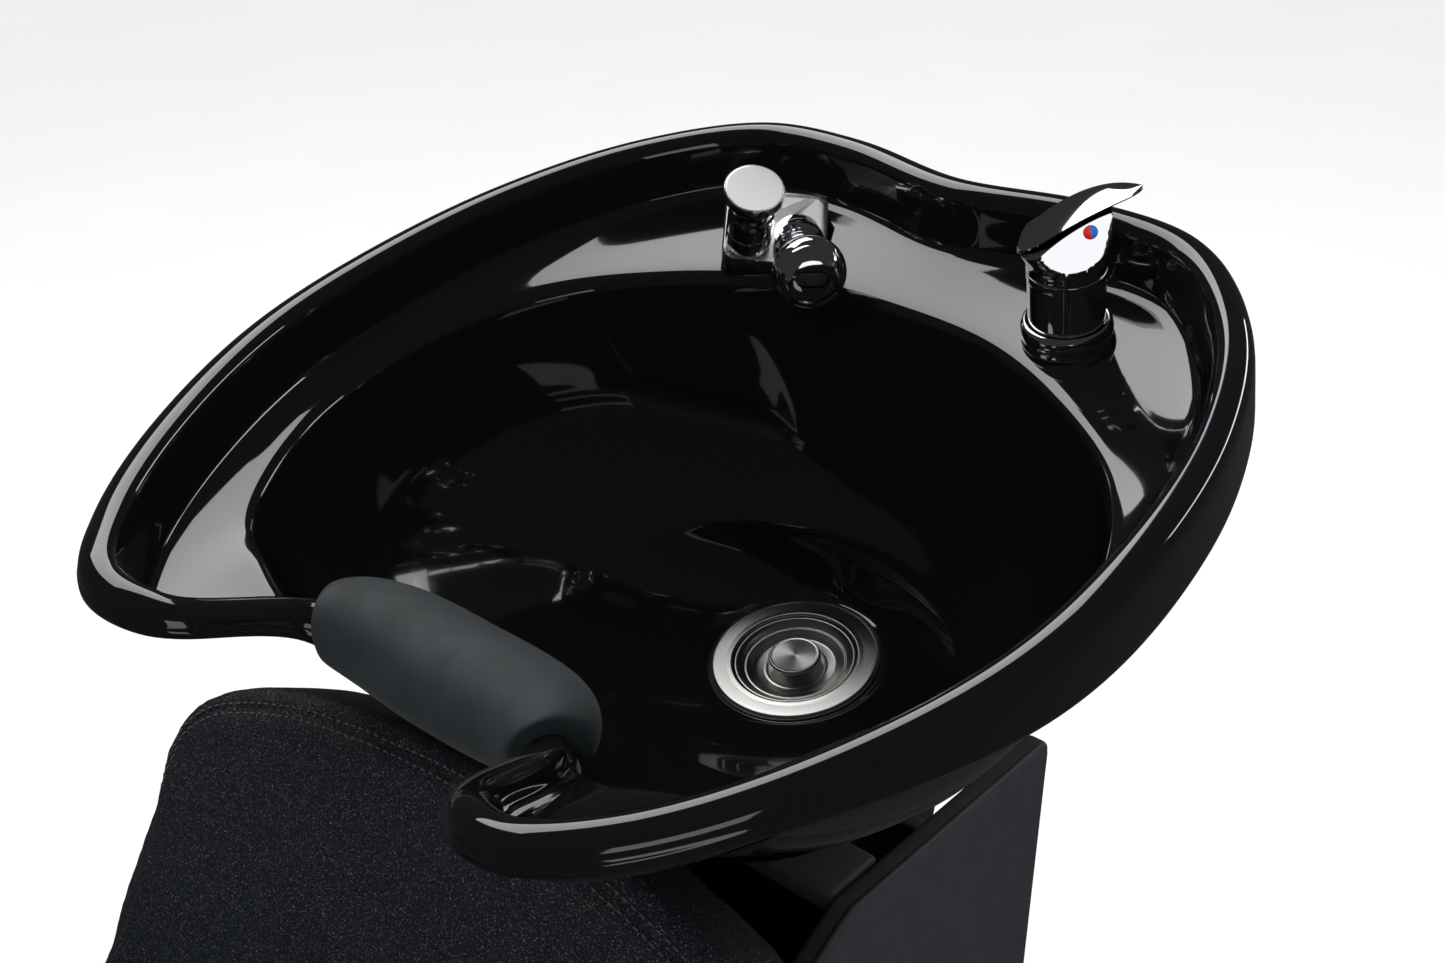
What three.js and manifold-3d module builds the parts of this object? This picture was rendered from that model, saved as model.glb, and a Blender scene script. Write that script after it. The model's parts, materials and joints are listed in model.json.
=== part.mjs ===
// Shampoo backwash unit: a tilting wash bowl with its taps, on a pedestal behind a reclined chair.
// Millimetres, +Z up. The client faces -Y and the mixer tap is on the +X side.
// The origin is on the floor, under the middle of the unit's box.
import * as THREE from "three";
import { mergeVertices } from "three/addons/utils/BufferGeometryUtils.js";
import Module from "manifold-3d";

// ---- driving dimensions ----
const GAP = 0.3; // left between pieces that touch
const RIM_HEIGHT = 925; // floor to the middle of the bowl's rim
const BOWL_TILT = 10.6; // degrees the rim leans down towards the neck

// Right half of the rim's crest, seen from above in the bowl's own frame, from the rear middle,
// round the rear corner and the horn's tip to the bottom of the neck recess.
const RIM_CREST = [
  [0, 262, 0],
  [92, 276, 0],
  [165, 267, 0],
  [228, 204, 0],
  [268, 110, 0],
  [283, 7, 0],
  [278, -90, 0],
  [244, -187, 0],
  [199, -258, 0],
  [157, -292, 0],
  [118, -284, -10],
  [90, -216, -52],
  [0, -203, -68],
];
// Right half of the basin's mouth, where the deck and the horn's floor drop into the basin.
const BASIN_MOUTH = [
  [0, 193, -58],
  [75, 187, -58],
  [140, 160, -58],
  [203, 112, -58],
  [240, 50, -57],
  [252, -12, -56],
  [247, -80, -55],
  [224, -140, -55],
  [190, -186, -56],
  [150, -206, -57],
  [118, -214, -64],
  [80, -192, -90],
  [0, -181, -101],
];
const RIM_STEPS = 60; // corners round each ring of the bowl
const SHELL = 6; // thickness of the bowl's wall
const SKIRT = { horn: 18, side: 48 }; // depth of the skirt at the horns and along the sides
const BEAD = 11; // half width of the rolled rim
const DECK_OUTER_Z = -43; // deck at the foot of the rim's wall
const SUMP = { y: 18, z: -215, rx: 149, ry: 114 }; // edge where the steep wall meets the floor
const DRAIN = { y: 58, z: -263, flange: 57, hole: 46 };

const TAP = { x: 118, y: 210, z: -48, yaw: 41 }; // mixer tap on the deck, its lever towards yaw
const TAP_RADIUS = 24;
const HEAD_BASE = 44.4; // height of the seam under the turning head
// Side of the lever's top, from the tail behind the head to the tip, as [along the lever, height].
const LEVER_CROWN = [[-29, 62], [-20, 69], [-6, 78.5], [10, 86.5], [26, 91.5], [44, 94]];

const FITTING = { x: -109, y: 208, z: -37, yaw: 65.7, tilt: 25, spin: -30, width: 70, depth: 62 };
const BREAKER = { x: -18, y: -14.5 };
const SPRAY = { x: 16, y: -11, lean: 56, turn: 7 };

const PIVOT = { y: 225, z: RIM_HEIGHT - 150 }; // tilt shaft, behind and below the basin
const EAR_X = 50; // inner ears, on the bowl's bracket
const PLATE = 5; // steel plate thickness
const STAND_FOOT = 430; // lower edge of the tilt stand, on the rear panel

const PEDESTAL = { half: 165, rear: 167, front: -125, top: 655, shoulder: -40, panel: 18, foot: 22 };
const SERVICE_TOP = 540; // top of the low rear panel; the pipe space is open above it
const SEAT = { width: 520, rear: -292, front: -832, top: 450, thick: 88 };
const BACK = { half: 270, y: -165, z: RIM_HEIGHT - 178, lean: 29.5, thick: 70, height: 312 };
const SEAT_BOARD = 15; // thickness of the seat's plywood
const FRAME_TOP = SEAT.top - SEAT.thick - SEAT_BOARD - 2 * GAP;
const ARM = { inner: 275, thick: 46, rear: -348, front: -846, top: 618 };

// ---- materials ----
const finish = (color, roughness, metalness = 0) =>
  new THREE.MeshStandardMaterial({ color, roughness, metalness });
const GLOSS_BLACK = finish(0x050506, 0.08);
const VINYL = finish(0x17181b, 0.55);
const PANEL_VINYL = finish(0x2a2b30, 0.5);
const PAD_GREY = finish(0x39464a, 0.7);
const CHROME = finish(0xd8dade, 0.08, 1);
const STEEL = finish(0xb8b6b2, 0.3, 1);
const BLACK_STEEL = finish(0x16171a, 0.45, 0.6);
const RUBBER = finish(0x101010, 0.9);
const PLY = finish(0xa98a5e, 0.75);
const BRASS = finish(0xb99a55, 0.35, 1);
const WHITE_PLASTIC = finish(0xdcdcd8, 0.5);
const INDICATOR = finish(0xd02020, 0.3);

const radians = THREE.MathUtils.degToRad;
const wasm = await Module();
wasm.setup();

// ---- solid and shape helpers ----
function toSolid(geometry) {
  const plain = geometry.index ? geometry.toNonIndexed() : geometry.clone();
  plain.deleteAttribute("normal");
  plain.deleteAttribute("uv");
  const merged = mergeVertices(plain, 1e-3);
  const triVerts = new Uint32Array(merged.index.array);
  const vertProperties = merged.attributes.position.array;
  return new wasm.Manifold(new wasm.Mesh({ numProp: 3, vertProperties, triVerts }));
}

function toGeometry(solid) {
  const { vertProperties, triVerts } = solid.getMesh();
  const geometry = new THREE.BufferGeometry();
  geometry.setAttribute("position", new THREE.BufferAttribute(vertProperties, 3));
  geometry.setIndex(new THREE.BufferAttribute(triVerts, 1));
  geometry.computeVertexNormals();
  return geometry;
}

const cut = (body, ...tools) =>
  toGeometry(tools.reduce((rest, tool) => rest.subtract(toSolid(tool)), toSolid(body)));
const join = (...bodies) =>
  toGeometry(bodies.slice(1).reduce((sum, body) => sum.add(toSolid(body)), toSolid(bodies[0])));

// A turned piece about Z from (radius, height) points; a ring's profile closes on itself.
function turned(profile, segments = 24) {
  const points = profile.map(([r, z]) => new THREE.Vector2(r, z));
  if (profile[0][0] > 0) points.push(points[0].clone());
  const area = points.reduce((sum, p, i) => {
    const next = points[(i + 1) % points.length];
    return sum + p.x * next.y - next.x * p.y;
  }, 0);
  if (area < 0) points.reverse();
  return new THREE.LatheGeometry(points, segments).rotateX(Math.PI / 2);
}

const disc = (radius, low, high, segments = 24) =>
  new THREE.CylinderGeometry(radius, radius, high - low, segments)
    .rotateX(Math.PI / 2)
    .translate(0, 0, (low + high) / 2);
const ring = (inner, outer, low, high, segments = 24) =>
  turned([[inner, low], [outer, low], [outer, high], [inner, high]], segments);
const block = (x0, x1, y0, y1, z0, z1) =>
  new THREE.BoxGeometry(x1 - x0, y1 - y0, z1 - z0)
    .translate((x0 + x1) / 2, (y0 + y1) / 2, (z0 + z1) / 2);

function roundedOutline(width, depth, radius) {
  const x = width / 2;
  const y = depth / 2;
  const outline = new THREE.Shape();
  outline.absarc(x - radius, y - radius, radius, 0, Math.PI / 2);
  outline.absarc(radius - x, y - radius, radius, Math.PI / 2, Math.PI);
  outline.absarc(radius - x, radius - y, radius, Math.PI, Math.PI * 1.5);
  outline.absarc(x - radius, radius - y, radius, Math.PI * 1.5, Math.PI * 2);
  return outline;
}

const slab = (width, depth, height, radius, segments = 4) =>
  new THREE.ExtrudeGeometry(roundedOutline(width, depth, radius), {
    depth: height,
    bevelEnabled: false,
    curveSegments: segments,
  });

// A cushion: a rounded block standing on z = 0 whose edges are softened by the given amount.
function cushionSlab(width, depth, height, radius, soft) {
  const outline = roundedOutline(width - 2 * soft, depth - 2 * soft, radius);
  return new THREE.ExtrudeGeometry(outline, {
    depth: height - 2 * soft,
    bevelThickness: soft,
    bevelSize: soft,
    bevelSegments: 2,
    curveSegments: 4,
  }).translate(0, 0, soft);
}

function roundHole(x, y, radius, corners = 24) {
  const points = Array.from({ length: corners }, (_, i) => {
    const angle = (2 * Math.PI * i) / corners;
    return new THREE.Vector2(x + radius * Math.cos(angle), y + radius * Math.sin(angle));
  });
  return new THREE.Path(points);
}

// A flat plate standing in a YZ plane, from x0 to x1, with holes as [y, z, radius].
function sidePlate(points, x0, x1, holes = []) {
  const outline = new THREE.Shape(points.map(([y, z]) => new THREE.Vector2(y, z)));
  for (const [y, z, radius] of holes) outline.holes.push(roundHole(y, z, radius));
  const alongX = new THREE.Matrix4().makeBasis(
    new THREE.Vector3(0, 1, 0),
    new THREE.Vector3(0, 0, 1),
    new THREE.Vector3(1, 0, 0),
  );
  return new THREE.ExtrudeGeometry(outline, { depth: x1 - x0, bevelEnabled: false, curveSegments: 12 })
    .applyMatrix4(alongX)
    .translate(x0, 0, 0);
}

// ---- scene graph ----
const unit = new THREE.Group();
const bowl = new THREE.Group();
bowl.position.z = RIM_HEIGHT;
bowl.rotation.x = radians(BOWL_TILT);
unit.add(bowl);

function add(parent, name, geometry, material, x = 0, y = 0, z = 0) {
  const mesh = new THREE.Mesh(geometry, material);
  mesh.name = name;
  mesh.position.set(x, y, z);
  parent.add(mesh);
  return mesh;
}

function turnedGroup(parent, x, y, z, yaw = 0, tilt = 0) {
  const outer = new THREE.Group();
  outer.position.set(x, y, z);
  outer.rotation.z = radians(yaw);
  const inner = new THREE.Group();
  inner.rotation.x = radians(tilt);
  outer.add(inner);
  parent.add(outer);
  return inner;
}

// Matrix that takes a piece from a group's frame to the bowl's frame.
function toBowlFrame(group) {
  unit.updateMatrixWorld(true);
  return bowl.matrixWorld.clone().invert().multiply(group.matrixWorld);
}

// ---- the bowl's shell ----
const mirrored = (half) => [...half, ...half.slice(1, -1).reverse().map(([x, y, z]) => [-x, y, z])];

function closedCurve(half) {
  const points = mirrored(half).map((p) => new THREE.Vector3(...p));
  return new THREE.CatmullRomCurve3(points, true, "centripetal");
}

function closedRing(half) {
  const curve = closedCurve(half);
  return Array.from({ length: RIM_STEPS }, (_, i) => curve.getPoint(i / RIM_STEPS));
}

// Unit vectors that point out of a ring, level, one for each corner.
function outwards(points) {
  return points.map((_, i) => {
    const next = points[(i + 1) % points.length];
    const last = points[(i + points.length - 1) % points.length];
    return new THREE.Vector3(last.y - next.y, next.x - last.x, 0).normalize();
  });
}

const crest = closedRing(RIM_CREST);
const crestOut = outwards(crest);
const mouth = closedRing(BASIN_MOUTH);
const mouthOut = outwards(mouth);
// 0 along the level rim, 1 at the bottom of the neck recess
const recess = crest.map((p) => Math.min(1, Math.max(0, -p.z / 68)));

const fromCrest = (out, rise) =>
  crest.map((p, i) => p.clone().addScaledVector(crestOut[i], out).setZ(p.z + rise));
const fromMouth = (out, rise) =>
  mouth.map((p, i) => p.clone().addScaledVector(mouthOut[i], out).setZ(p.z + rise));

// The skirt's lower edge, deeper along the sides than at the horns.
function skirtRing(out, extra) {
  const hem = fromCrest(out, -extra);
  hem.forEach((p, i) => {
    const share = THREE.MathUtils.smoothstep(crest[i].y, -270, 20);
    p.z -= THREE.MathUtils.lerp(SKIRT.horn, SKIRT.side, share);
  });
  return hem;
}

// An ellipse about the sump, with its corners in step with the mouth's.
const sumpRing = (rx, ry, y, z) =>
  mouth.map((p) => {
    const angle = Math.atan2(p.x / SUMP.rx, (p.y - SUMP.y) / SUMP.ry);
    return new THREE.Vector3(rx * Math.sin(angle), y + ry * Math.cos(angle), z);
  });

// The basin's wall part way down, bulging out so that it is steepest near the top.
function wallRing(grow, drop) {
  const sump = sumpRing(SUMP.rx, SUMP.ry, SUMP.y, SUMP.z);
  return mouth.map((p, i) => {
    const share = 0.42 - 0.2 * recess[i];
    const point = sump[i].clone().lerp(p, 0.76);
    point.z = THREE.MathUtils.lerp(p.z, SUMP.z, share) - drop;
    return point.addScaledVector(mouthOut[i], grow);
  });
}

function deckFoot(drop) {
  const foot = fromCrest(-15, 0);
  foot.forEach((p, i) => {
    p.z = Math.min(DECK_OUTER_Z, crest[i].z - 24) - drop;
  });
  return foot;
}

// Skins a closed tube of rings: ring j joins ring j + 1, and the last joins the first.
function loft(rings) {
  const corners = rings[0].length;
  const index = [];
  rings.forEach((_, j) => {
    const next = (j + 1) % rings.length;
    for (let i = 0; i < corners; i += 1) {
      const k = (i + 1) % corners;
      const [a, b, c, d] = [j * corners + i, j * corners + k, next * corners + k, next * corners + i];
      index.push(a, c, b, a, d, c);
    }
  });
  const geometry = new THREE.BufferGeometry().setFromPoints(rings.flat());
  geometry.setIndex(index);
  return geometry;
}

// The bowl's shell, grown by an even allowance on its open side where a soft piece has to clear it.
function bowlShell(grow = 0) {
  const { y, z, hole } = DRAIN;
  const seat = DRAIN.flange + 1.5;
  const bead = BEAD + grow;
  return loft([
    skirtRing(bead + 3, grow),
    fromCrest(bead + 1.5, -13),
    fromCrest(bead, -9),
    fromCrest(bead * 0.7, grow - 2.5),
    fromCrest(0, grow),
    fromCrest(-bead * 0.7, grow - 2.5),
    fromCrest(-bead, -9),
    deckFoot(-grow).map((p, i) => p.addScaledVector(crestOut[i], -grow)),
    fromMouth(-grow, grow),
    wallRing(-grow, -grow),
    sumpRing(SUMP.rx, SUMP.ry, SUMP.y, SUMP.z),
    sumpRing(108, 92, 38, -246),
    sumpRing(seat + 3, seat + 3, y, z - 0.5),
    sumpRing(seat, seat, y, z - 3.2),
    sumpRing(hole, hole, y, z - 3.2),
    sumpRing(hole, hole, y, z - 3.2 - SHELL),
    sumpRing(seat + 5, seat + 5, y, z - 3.2 - SHELL),
    sumpRing(112, 96, 38, -246 - SHELL),
    sumpRing(SUMP.rx + SHELL, SUMP.ry + SHELL, SUMP.y, SUMP.z - 3),
    wallRing(SHELL, 2),
    fromMouth(SHELL, -SHELL),
    deckFoot(SHELL).map((p, i) => p.addScaledVector(crestOut[i], 4)),
    fromCrest(BEAD - 5, -14),
    skirtRing(BEAD - 2.5 - grow, grow),
  ]);
}

const BOSSES = [-38, 38].map((x) => ({ x, y: 234 }));
const BRACKET_TOP = -72;
const tapGroup = turnedGroup(bowl, TAP.x, TAP.y, TAP.z, TAP.yaw);
const fittingGroup = turnedGroup(bowl, FITTING.x, FITTING.y, FITTING.z, FITTING.yaw, FITTING.tilt);
fittingGroup.rotation.z = radians(FITTING.spin);

function pierced(shell) {
  const tapHole = disc(17, -40, 30).applyMatrix4(toBowlFrame(tapGroup));
  const fittingHole = disc(13, -50, 20).translate(-2, -6, 0).applyMatrix4(toBowlFrame(fittingGroup));
  const bosses = BOSSES.map(({ x, y }) => disc(10, BRACKET_TOP + GAP, -56, 12).translate(x, y, 0));
  const screwHoles = BOSSES.map(({ x, y }) => disc(4.3, BRACKET_TOP - 1, -58.5, 12).translate(x, y, 0));
  return cut(join(shell, ...bosses), tapHole, fittingHole, ...screwHoles);
}

const shell = pierced(bowlShell());
add(bowl, "bowl_shell", shell, GLOSS_BLACK);

// The part of a piece that stays above the deck (side 1) or under it (side -1), with the shell cut away.
function fitted(geometry, group, side) {
  const frame = toBowlFrame(group);
  const tool = bowlShell().translate(0, 0, side * GAP).applyMatrix4(frame.clone().invert());
  const pieces = toSolid(geometry).subtract(toSolid(tool)).decompose();
  const most = Math.max(...pieces.map((piece) => piece.volume()));
  const height = (piece) => side * piece.boundingBox().max[2];
  const large = pieces.filter((piece) => piece.volume() > most / 5);
  return toGeometry(large.reduce((best, piece) => (height(piece) > height(best) ? piece : best)));
}

// ---- the neck rest: a soft U channel that hugs the rim along the recess ----
function neckRest() {
  const full = [
    [14.5, -24], [21, -25], [26, -16], [25.5, -2], [19, 10], [3, 16.5], [-20, 15.5], [-38, 6], [-45, -9],
    [-41, -26], [-31, -31],
  ];
  const thin = [
    [14.5, -22], [17.5, -22], [19, -15], [18.5, -6], [13, 5], [2, 8.6], [-9, 6], [-16.5, -2], [-19, -11],
    [-21, -18], [-21.5, -25],
  ];
  const inner = [
    [-19, -25], [-15.6, -18], [-13, -5], [-7, 1.5], [0, 2.2], [8, 0.6], [12.6, -6], [13.4, -16],
  ];
  const centre = RIM_STEPS / 2;
  const reach = 2.35; // rim corners that the pad covers, each side of the middle
  const columns = 12;
  const crestCurve = closedCurve(RIM_CREST);
  const rings = Array.from({ length: columns + 1 }, (_, j) => {
    const at = (centre - reach + (2 * reach * j) / columns) / RIM_STEPS;
    const p = crestCurve.getPoint(at);
    const along = crestCurve.getTangent(at);
    const out = new THREE.Vector3(-along.y, along.x, 0).normalize();
    const end = Math.abs((2 * j) / columns - 1);
    const swell = Math.sqrt(Math.max(0, 1 - end ** 2.7));
    const skin = thin.map(([o, h], k) => [
      THREE.MathUtils.lerp(o, full[k][0], swell),
      THREE.MathUtils.lerp(h, full[k][1], swell),
    ]);
    return [...skin, ...inner].map(([o, h]) =>
      p.clone().addScaledVector(out, o).setZ(p.z + h));
  });
  const corners = thin.length + inner.length;
  const index = [];
  for (let j = 0; j < columns; j += 1) {
    for (let i = 0; i < corners; i += 1) {
      const k = (i + 1) % corners;
      const [a, b, c, d] = [j * corners + i, j * corners + k, (j + 1) * corners + k, (j + 1) * corners + i];
      index.push(a, b, c, a, c, d);
    }
  }
  const flat = [...thin, ...inner].map(([o, h]) => new THREE.Vector2(o, h));
  for (const [i, j, k] of THREE.ShapeUtils.triangulateShape(flat, [])) {
    const last = columns * corners;
    index.push(i, k, j, last + i, last + j, last + k);
  }
  const geometry = new THREE.BufferGeometry().setFromPoints(rings.flat());
  geometry.setIndex(index);
  return geometry;
}
add(bowl, "neck_rest", cut(neckRest(), bowlShell(0.6)), PAD_GREY);

// ---- drain ----
function addDrain() {
  const drain = new THREE.Group();
  drain.position.set(0, DRAIN.y, DRAIN.z);
  bowl.add(drain);
  const floor = -3.2 - SHELL;
  add(drain, "drain_flange", turned([
    [41.8, 0], [43.2, 0.9], [55.5, 0.5], [57, -0.6], [57, -2.6], [44.6, -2.9], [44.6, -24], [31, -48],
    [21, -54], [21, -70], [18, -70], [18, -51.5], [29, -46], [41.8, -23],
  ], 32), STEEL);
  add(drain, "drain_gasket", ring(45.2, 58, floor - 4.3, floor - GAP), RUBBER);
  add(drain, "drain_locknut", ring(45.2, 57, floor - 13, floor - 4.6), BRASS);
  add(drain, "tailpiece", turned([
    [14, -120], [17.5, -120], [17.5, -71.5], [21, -71.5], [21, -70.3], [14, -70.3],
  ]), CHROME);
  add(drain, "slip_nut", ring(21.4, 27, -78, -60), CHROME);
  add(drain, "strainer_basket", turned([
    [0, -9.4], [22, -9.4], [27, -8.2], [34, -3.6], [38.5, -1.4], [41.4, -0.9], [41.4, -3],
    [36.5, -5], [30, -12], [26, -30], [0, -30],
  ], 32), STEEL);
  add(drain, "strainer_knob", turned([
    [0, -9.1], [8, -9.1], [9, -7], [9, -1], [17.6, -0.4], [18, 2.2], [17, 3.2], [0, 3.2],
  ]), STEEL);
  add(drain, "strainer_seal", turned([[0, -38], [16, -38], [20, -30.3], [0, -30.3]]), RUBBER);
}
addDrain();

// ---- vacuum breaker and hand spray on their base plate ----
function addFittings() {
  const { width, depth } = FITTING;
  const plate = slab(width, depth, 40, 9).translate(0, 0, -40);
  const bore = disc(10.4, -60, 10).translate(-2, -6, 0);
  const seated = fitted(plate, fittingGroup, 1);
  add(fittingGroup, "fitting_base", cut(seated, bore), CHROME);
  add(fittingGroup, "fitting_shank", disc(10, -36, -0.6), BRASS, -2, -6, 0);
  const washer = ring(10.4, 18, -32, 0).translate(-2, -6, 0);
  add(fittingGroup, "fitting_washer", fitted(washer, fittingGroup, -1), RUBBER);
  const breaker = turnedGroup(fittingGroup, BREAKER.x, BREAKER.y, GAP);
  add(breaker, "vacuum_breaker_body", turned([
    [0, 0], [14, 0], [15.6, 2], [15.6, 14], [15.2, 14.6], [15.6, 15.2], [15.6, 29], [14.6, 33], [14.6, 46],
    [0, 46],
  ]), CHROME);
  add(breaker, "vacuum_breaker_cap", turned([
    [0, 46.3], [18.6, 46.3], [20, 47.6], [20, 54], [19, 55], [0, 55],
  ], 28), CHROME);
  const spray = turnedGroup(fittingGroup, SPRAY.x, SPRAY.y, 0, SPRAY.turn, SPRAY.lean);
  add(spray, "spray_collar", fittedCollar(spray), CHROME);
  const stem = [[0, 15], [7.6, 15], [7.6, 20.3], [12.5, 20.3], [11, 30], [9, 40], [9, 44], [0, 44]];
  add(spray, "spray_stem", turned(stem), CHROME);
  add(spray, "spray_head", sprayHead(), CHROME);
  add(spray, "spray_button", slab(20, 10, 3.6, 4.9), RUBBER, 0, 0, 74.8);
}

function fittedCollar(spray) {
  const collar = turned([
    [8, -8], [17, -8], [17.5, 8], [17, 12], [14.5, 14], [14.5, 18], [13, 20], [8, 20],
  ]);
  const fromBowl = toBowlFrame(spray).invert();
  const underPlate = block(-60, 60, -60, 60, -60, GAP)
    .applyMatrix4(toBowlFrame(fittingGroup))
    .applyMatrix4(fromBowl);
  return cut(collar, underPlate, bowlShell(GAP).applyMatrix4(fromBowl));
}

function sprayHead() {
  const head = turned([
    [0, 44.3], [9.3, 44.3], [17, 48], [22.6, 55], [24.5, 62], [23.4, 68], [19, 73], [12, 76], [0, 77],
  ], 28);
  const pocket = slab(20.6, 10.6, 10, 5.2, 4).translate(0, 0, 72);
  return cut(head, pocket);
}
addFittings();

// ---- mixer tap ----
// An outline in the XZ plane, drawn out along Y to the given half width on each side.
function acrossY(points, half) {
  const outline = new THREE.Shape(points.map(([x, z]) => new THREE.Vector2(x, z)));
  return new THREE.ExtrudeGeometry(outline, { depth: 2 * half, bevelEnabled: false })
    .rotateX(Math.PI / 2)
    .translate(0, half, 0);
}
// The lever's underside: the same crown, sunk by the leaf's thickness.
const underLever = LEVER_CROWN.map(([x, z], i) => [x + (i ? 0.5 : 0), z - (i < 4 ? 4 : 3)]);

// The turning head's round body, flared below its flat top, before its sides are cut.
const HEAD_FLARE = 5;
const CARTRIDGE_WELL = { radius: 7, top: 55 };

function addTap() {
  const baseRing = turned([
    [24.6, -8], [27.6, -8], [28.3, -3], [28.3, 4], [27.4, 8], [25.6, 9.4], [24.6, 9.4],
  ], 28);
  add(tapGroup, "mixer_base_ring", fitted(baseRing, tapGroup, 1), CHROME);
  const body = turned([[0, 6], [23.6, 6], [23.8, 20], [24, 44], [17.2, 44], [17.2, 14], [0, 14]], 28);
  add(tapGroup, "mixer_body", fitted(body, tapGroup, 1), CHROME);
  add(tapGroup, "mixer_shank", disc(16, -42, 5.7), BRASS);
  add(tapGroup, "mixer_washer", fitted(ring(16.4, 21, -20, 0), tapGroup, -1), RUBBER);
  add(tapGroup, "mixer_locknut", ring(16.4, 22, -30, -20.3), BRASS);
  add(tapGroup, "mixer_cartridge", disc(16.8, 14.3, 36), WHITE_PLASTIC);
  add(tapGroup, "cartridge_retainer", ring(9, 16.8, 36.3, 42), BRASS);
  add(tapGroup, "cartridge_stem", disc(6, 36.3, 52, 16), BRASS);
  const wide = TAP_RADIUS + HEAD_FLARE;
  const well = CARTRIDGE_WELL;
  const flared = turned([
    [well.radius, HEAD_BASE], [TAP_RADIUS, HEAD_BASE], [TAP_RADIUS, 50], [wide, 62], [wide, 100],
    [0, 100], [0, well.top], [well.radius, well.top],
  ], 28);
  const aboveLever = [[60, 91], [60, 140], [-60, 140], [-60, 50]];
  const overHead = acrossY([...underLever.map(([x, z]) => [x, z - GAP]), ...aboveLever], 60);
  const keep = [[-25, 40], [25, 40], [25, 52], [15, 88], [-15, 88], [-25, 52]];
  const sides = sidePlate(keep, -40, TAP_RADIUS);
  const lean = Math.atan2(10, 36); // of the head's flat sides
  const dotPlace = new THREE.Matrix4().makeTranslation(10, -18.06, 77)
    .multiply(new THREE.Matrix4().makeRotationX(Math.PI / 2 - lean));
  const pocket = disc(5, -1.2, 6, 20).applyMatrix4(dotPlace);
  const head = toGeometry(toSolid(flared).intersect(toSolid(sides)));
  add(tapGroup, "tap_head", cut(head, overHead, pocket), CHROME);
  add(tapGroup, "tap_indicator", disc(4.6, -0.9, 0.4, 20).applyMatrix4(dotPlace), INDICATOR);
  add(tapGroup, "tap_lever", leverPaddle(), CHROME);
}

function leverPaddle() {
  const outline = new THREE.Shape();
  outline.moveTo(-29, 0);
  outline.bezierCurveTo(-29, -11, -18, -15.5, 0, -15.5);
  outline.bezierCurveTo(24, -15.5, 44, -9, 44, 0);
  outline.bezierCurveTo(44, 9, 24, 15.5, 0, 15.5);
  outline.bezierCurveTo(-18, 15.5, -29, 11, -29, 0);
  const plan = new THREE.ExtrudeGeometry(outline, { depth: 60, bevelEnabled: false, curveSegments: 7 })
    .translate(0, 0, 50);
  const side = acrossY([...LEVER_CROWN, ...[...underLever].reverse()], 30);
  return toGeometry(toSolid(plan).intersect(toSolid(side)));
}
addTap();

// ---- tilt bracket under the bowl, in the unit's frame ----
function pivotInBowl() {
  const point = new THREE.Vector3(0, PIVOT.y, PIVOT.z);
  return bowl.worldToLocal(point);
}

function addTiltGear() {
  const pivot = pivotInBowl();
  const earOutline = [
    [206, BRACKET_TOP], [262, BRACKET_TOP], [pivot.y + 20, pivot.z - 8], [pivot.y + 8, pivot.z - 19],
    [pivot.y - 8, pivot.z - 19], [pivot.y - 17, pivot.z - 6],
  ];
  const hole = [pivot.y, pivot.z, 8 + GAP];
  const ears = [-1, 1].map((side) => {
    const x0 = side > 0 ? EAR_X : -EAR_X - PLATE;
    return sidePlate(earOutline, x0, x0 + PLATE, [hole]);
  });
  const top = block(-EAR_X - PLATE, EAR_X + PLATE, 206, 262, BRACKET_TOP - PLATE, BRACKET_TOP);
  const holes = BOSSES.map(({ x, y }) =>
    disc(4.3, BRACKET_TOP - 9, BRACKET_TOP + 4, 12).translate(x, y, 0));
  add(bowl, "bowl_bracket", cut(join(top, ...ears), ...holes), BLACK_STEEL);
  BOSSES.forEach(({ x, y }, i) => {
    const bolt = join(disc(3.9, 0, 13, 12), disc(7, -4.8, 0.2, 6));
    add(bowl, `bowl_bolt_${i + 1}`, bolt, STEEL, x, y, BRACKET_TOP - PLATE - 0.5);
  });
}
addTiltGear();

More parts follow.
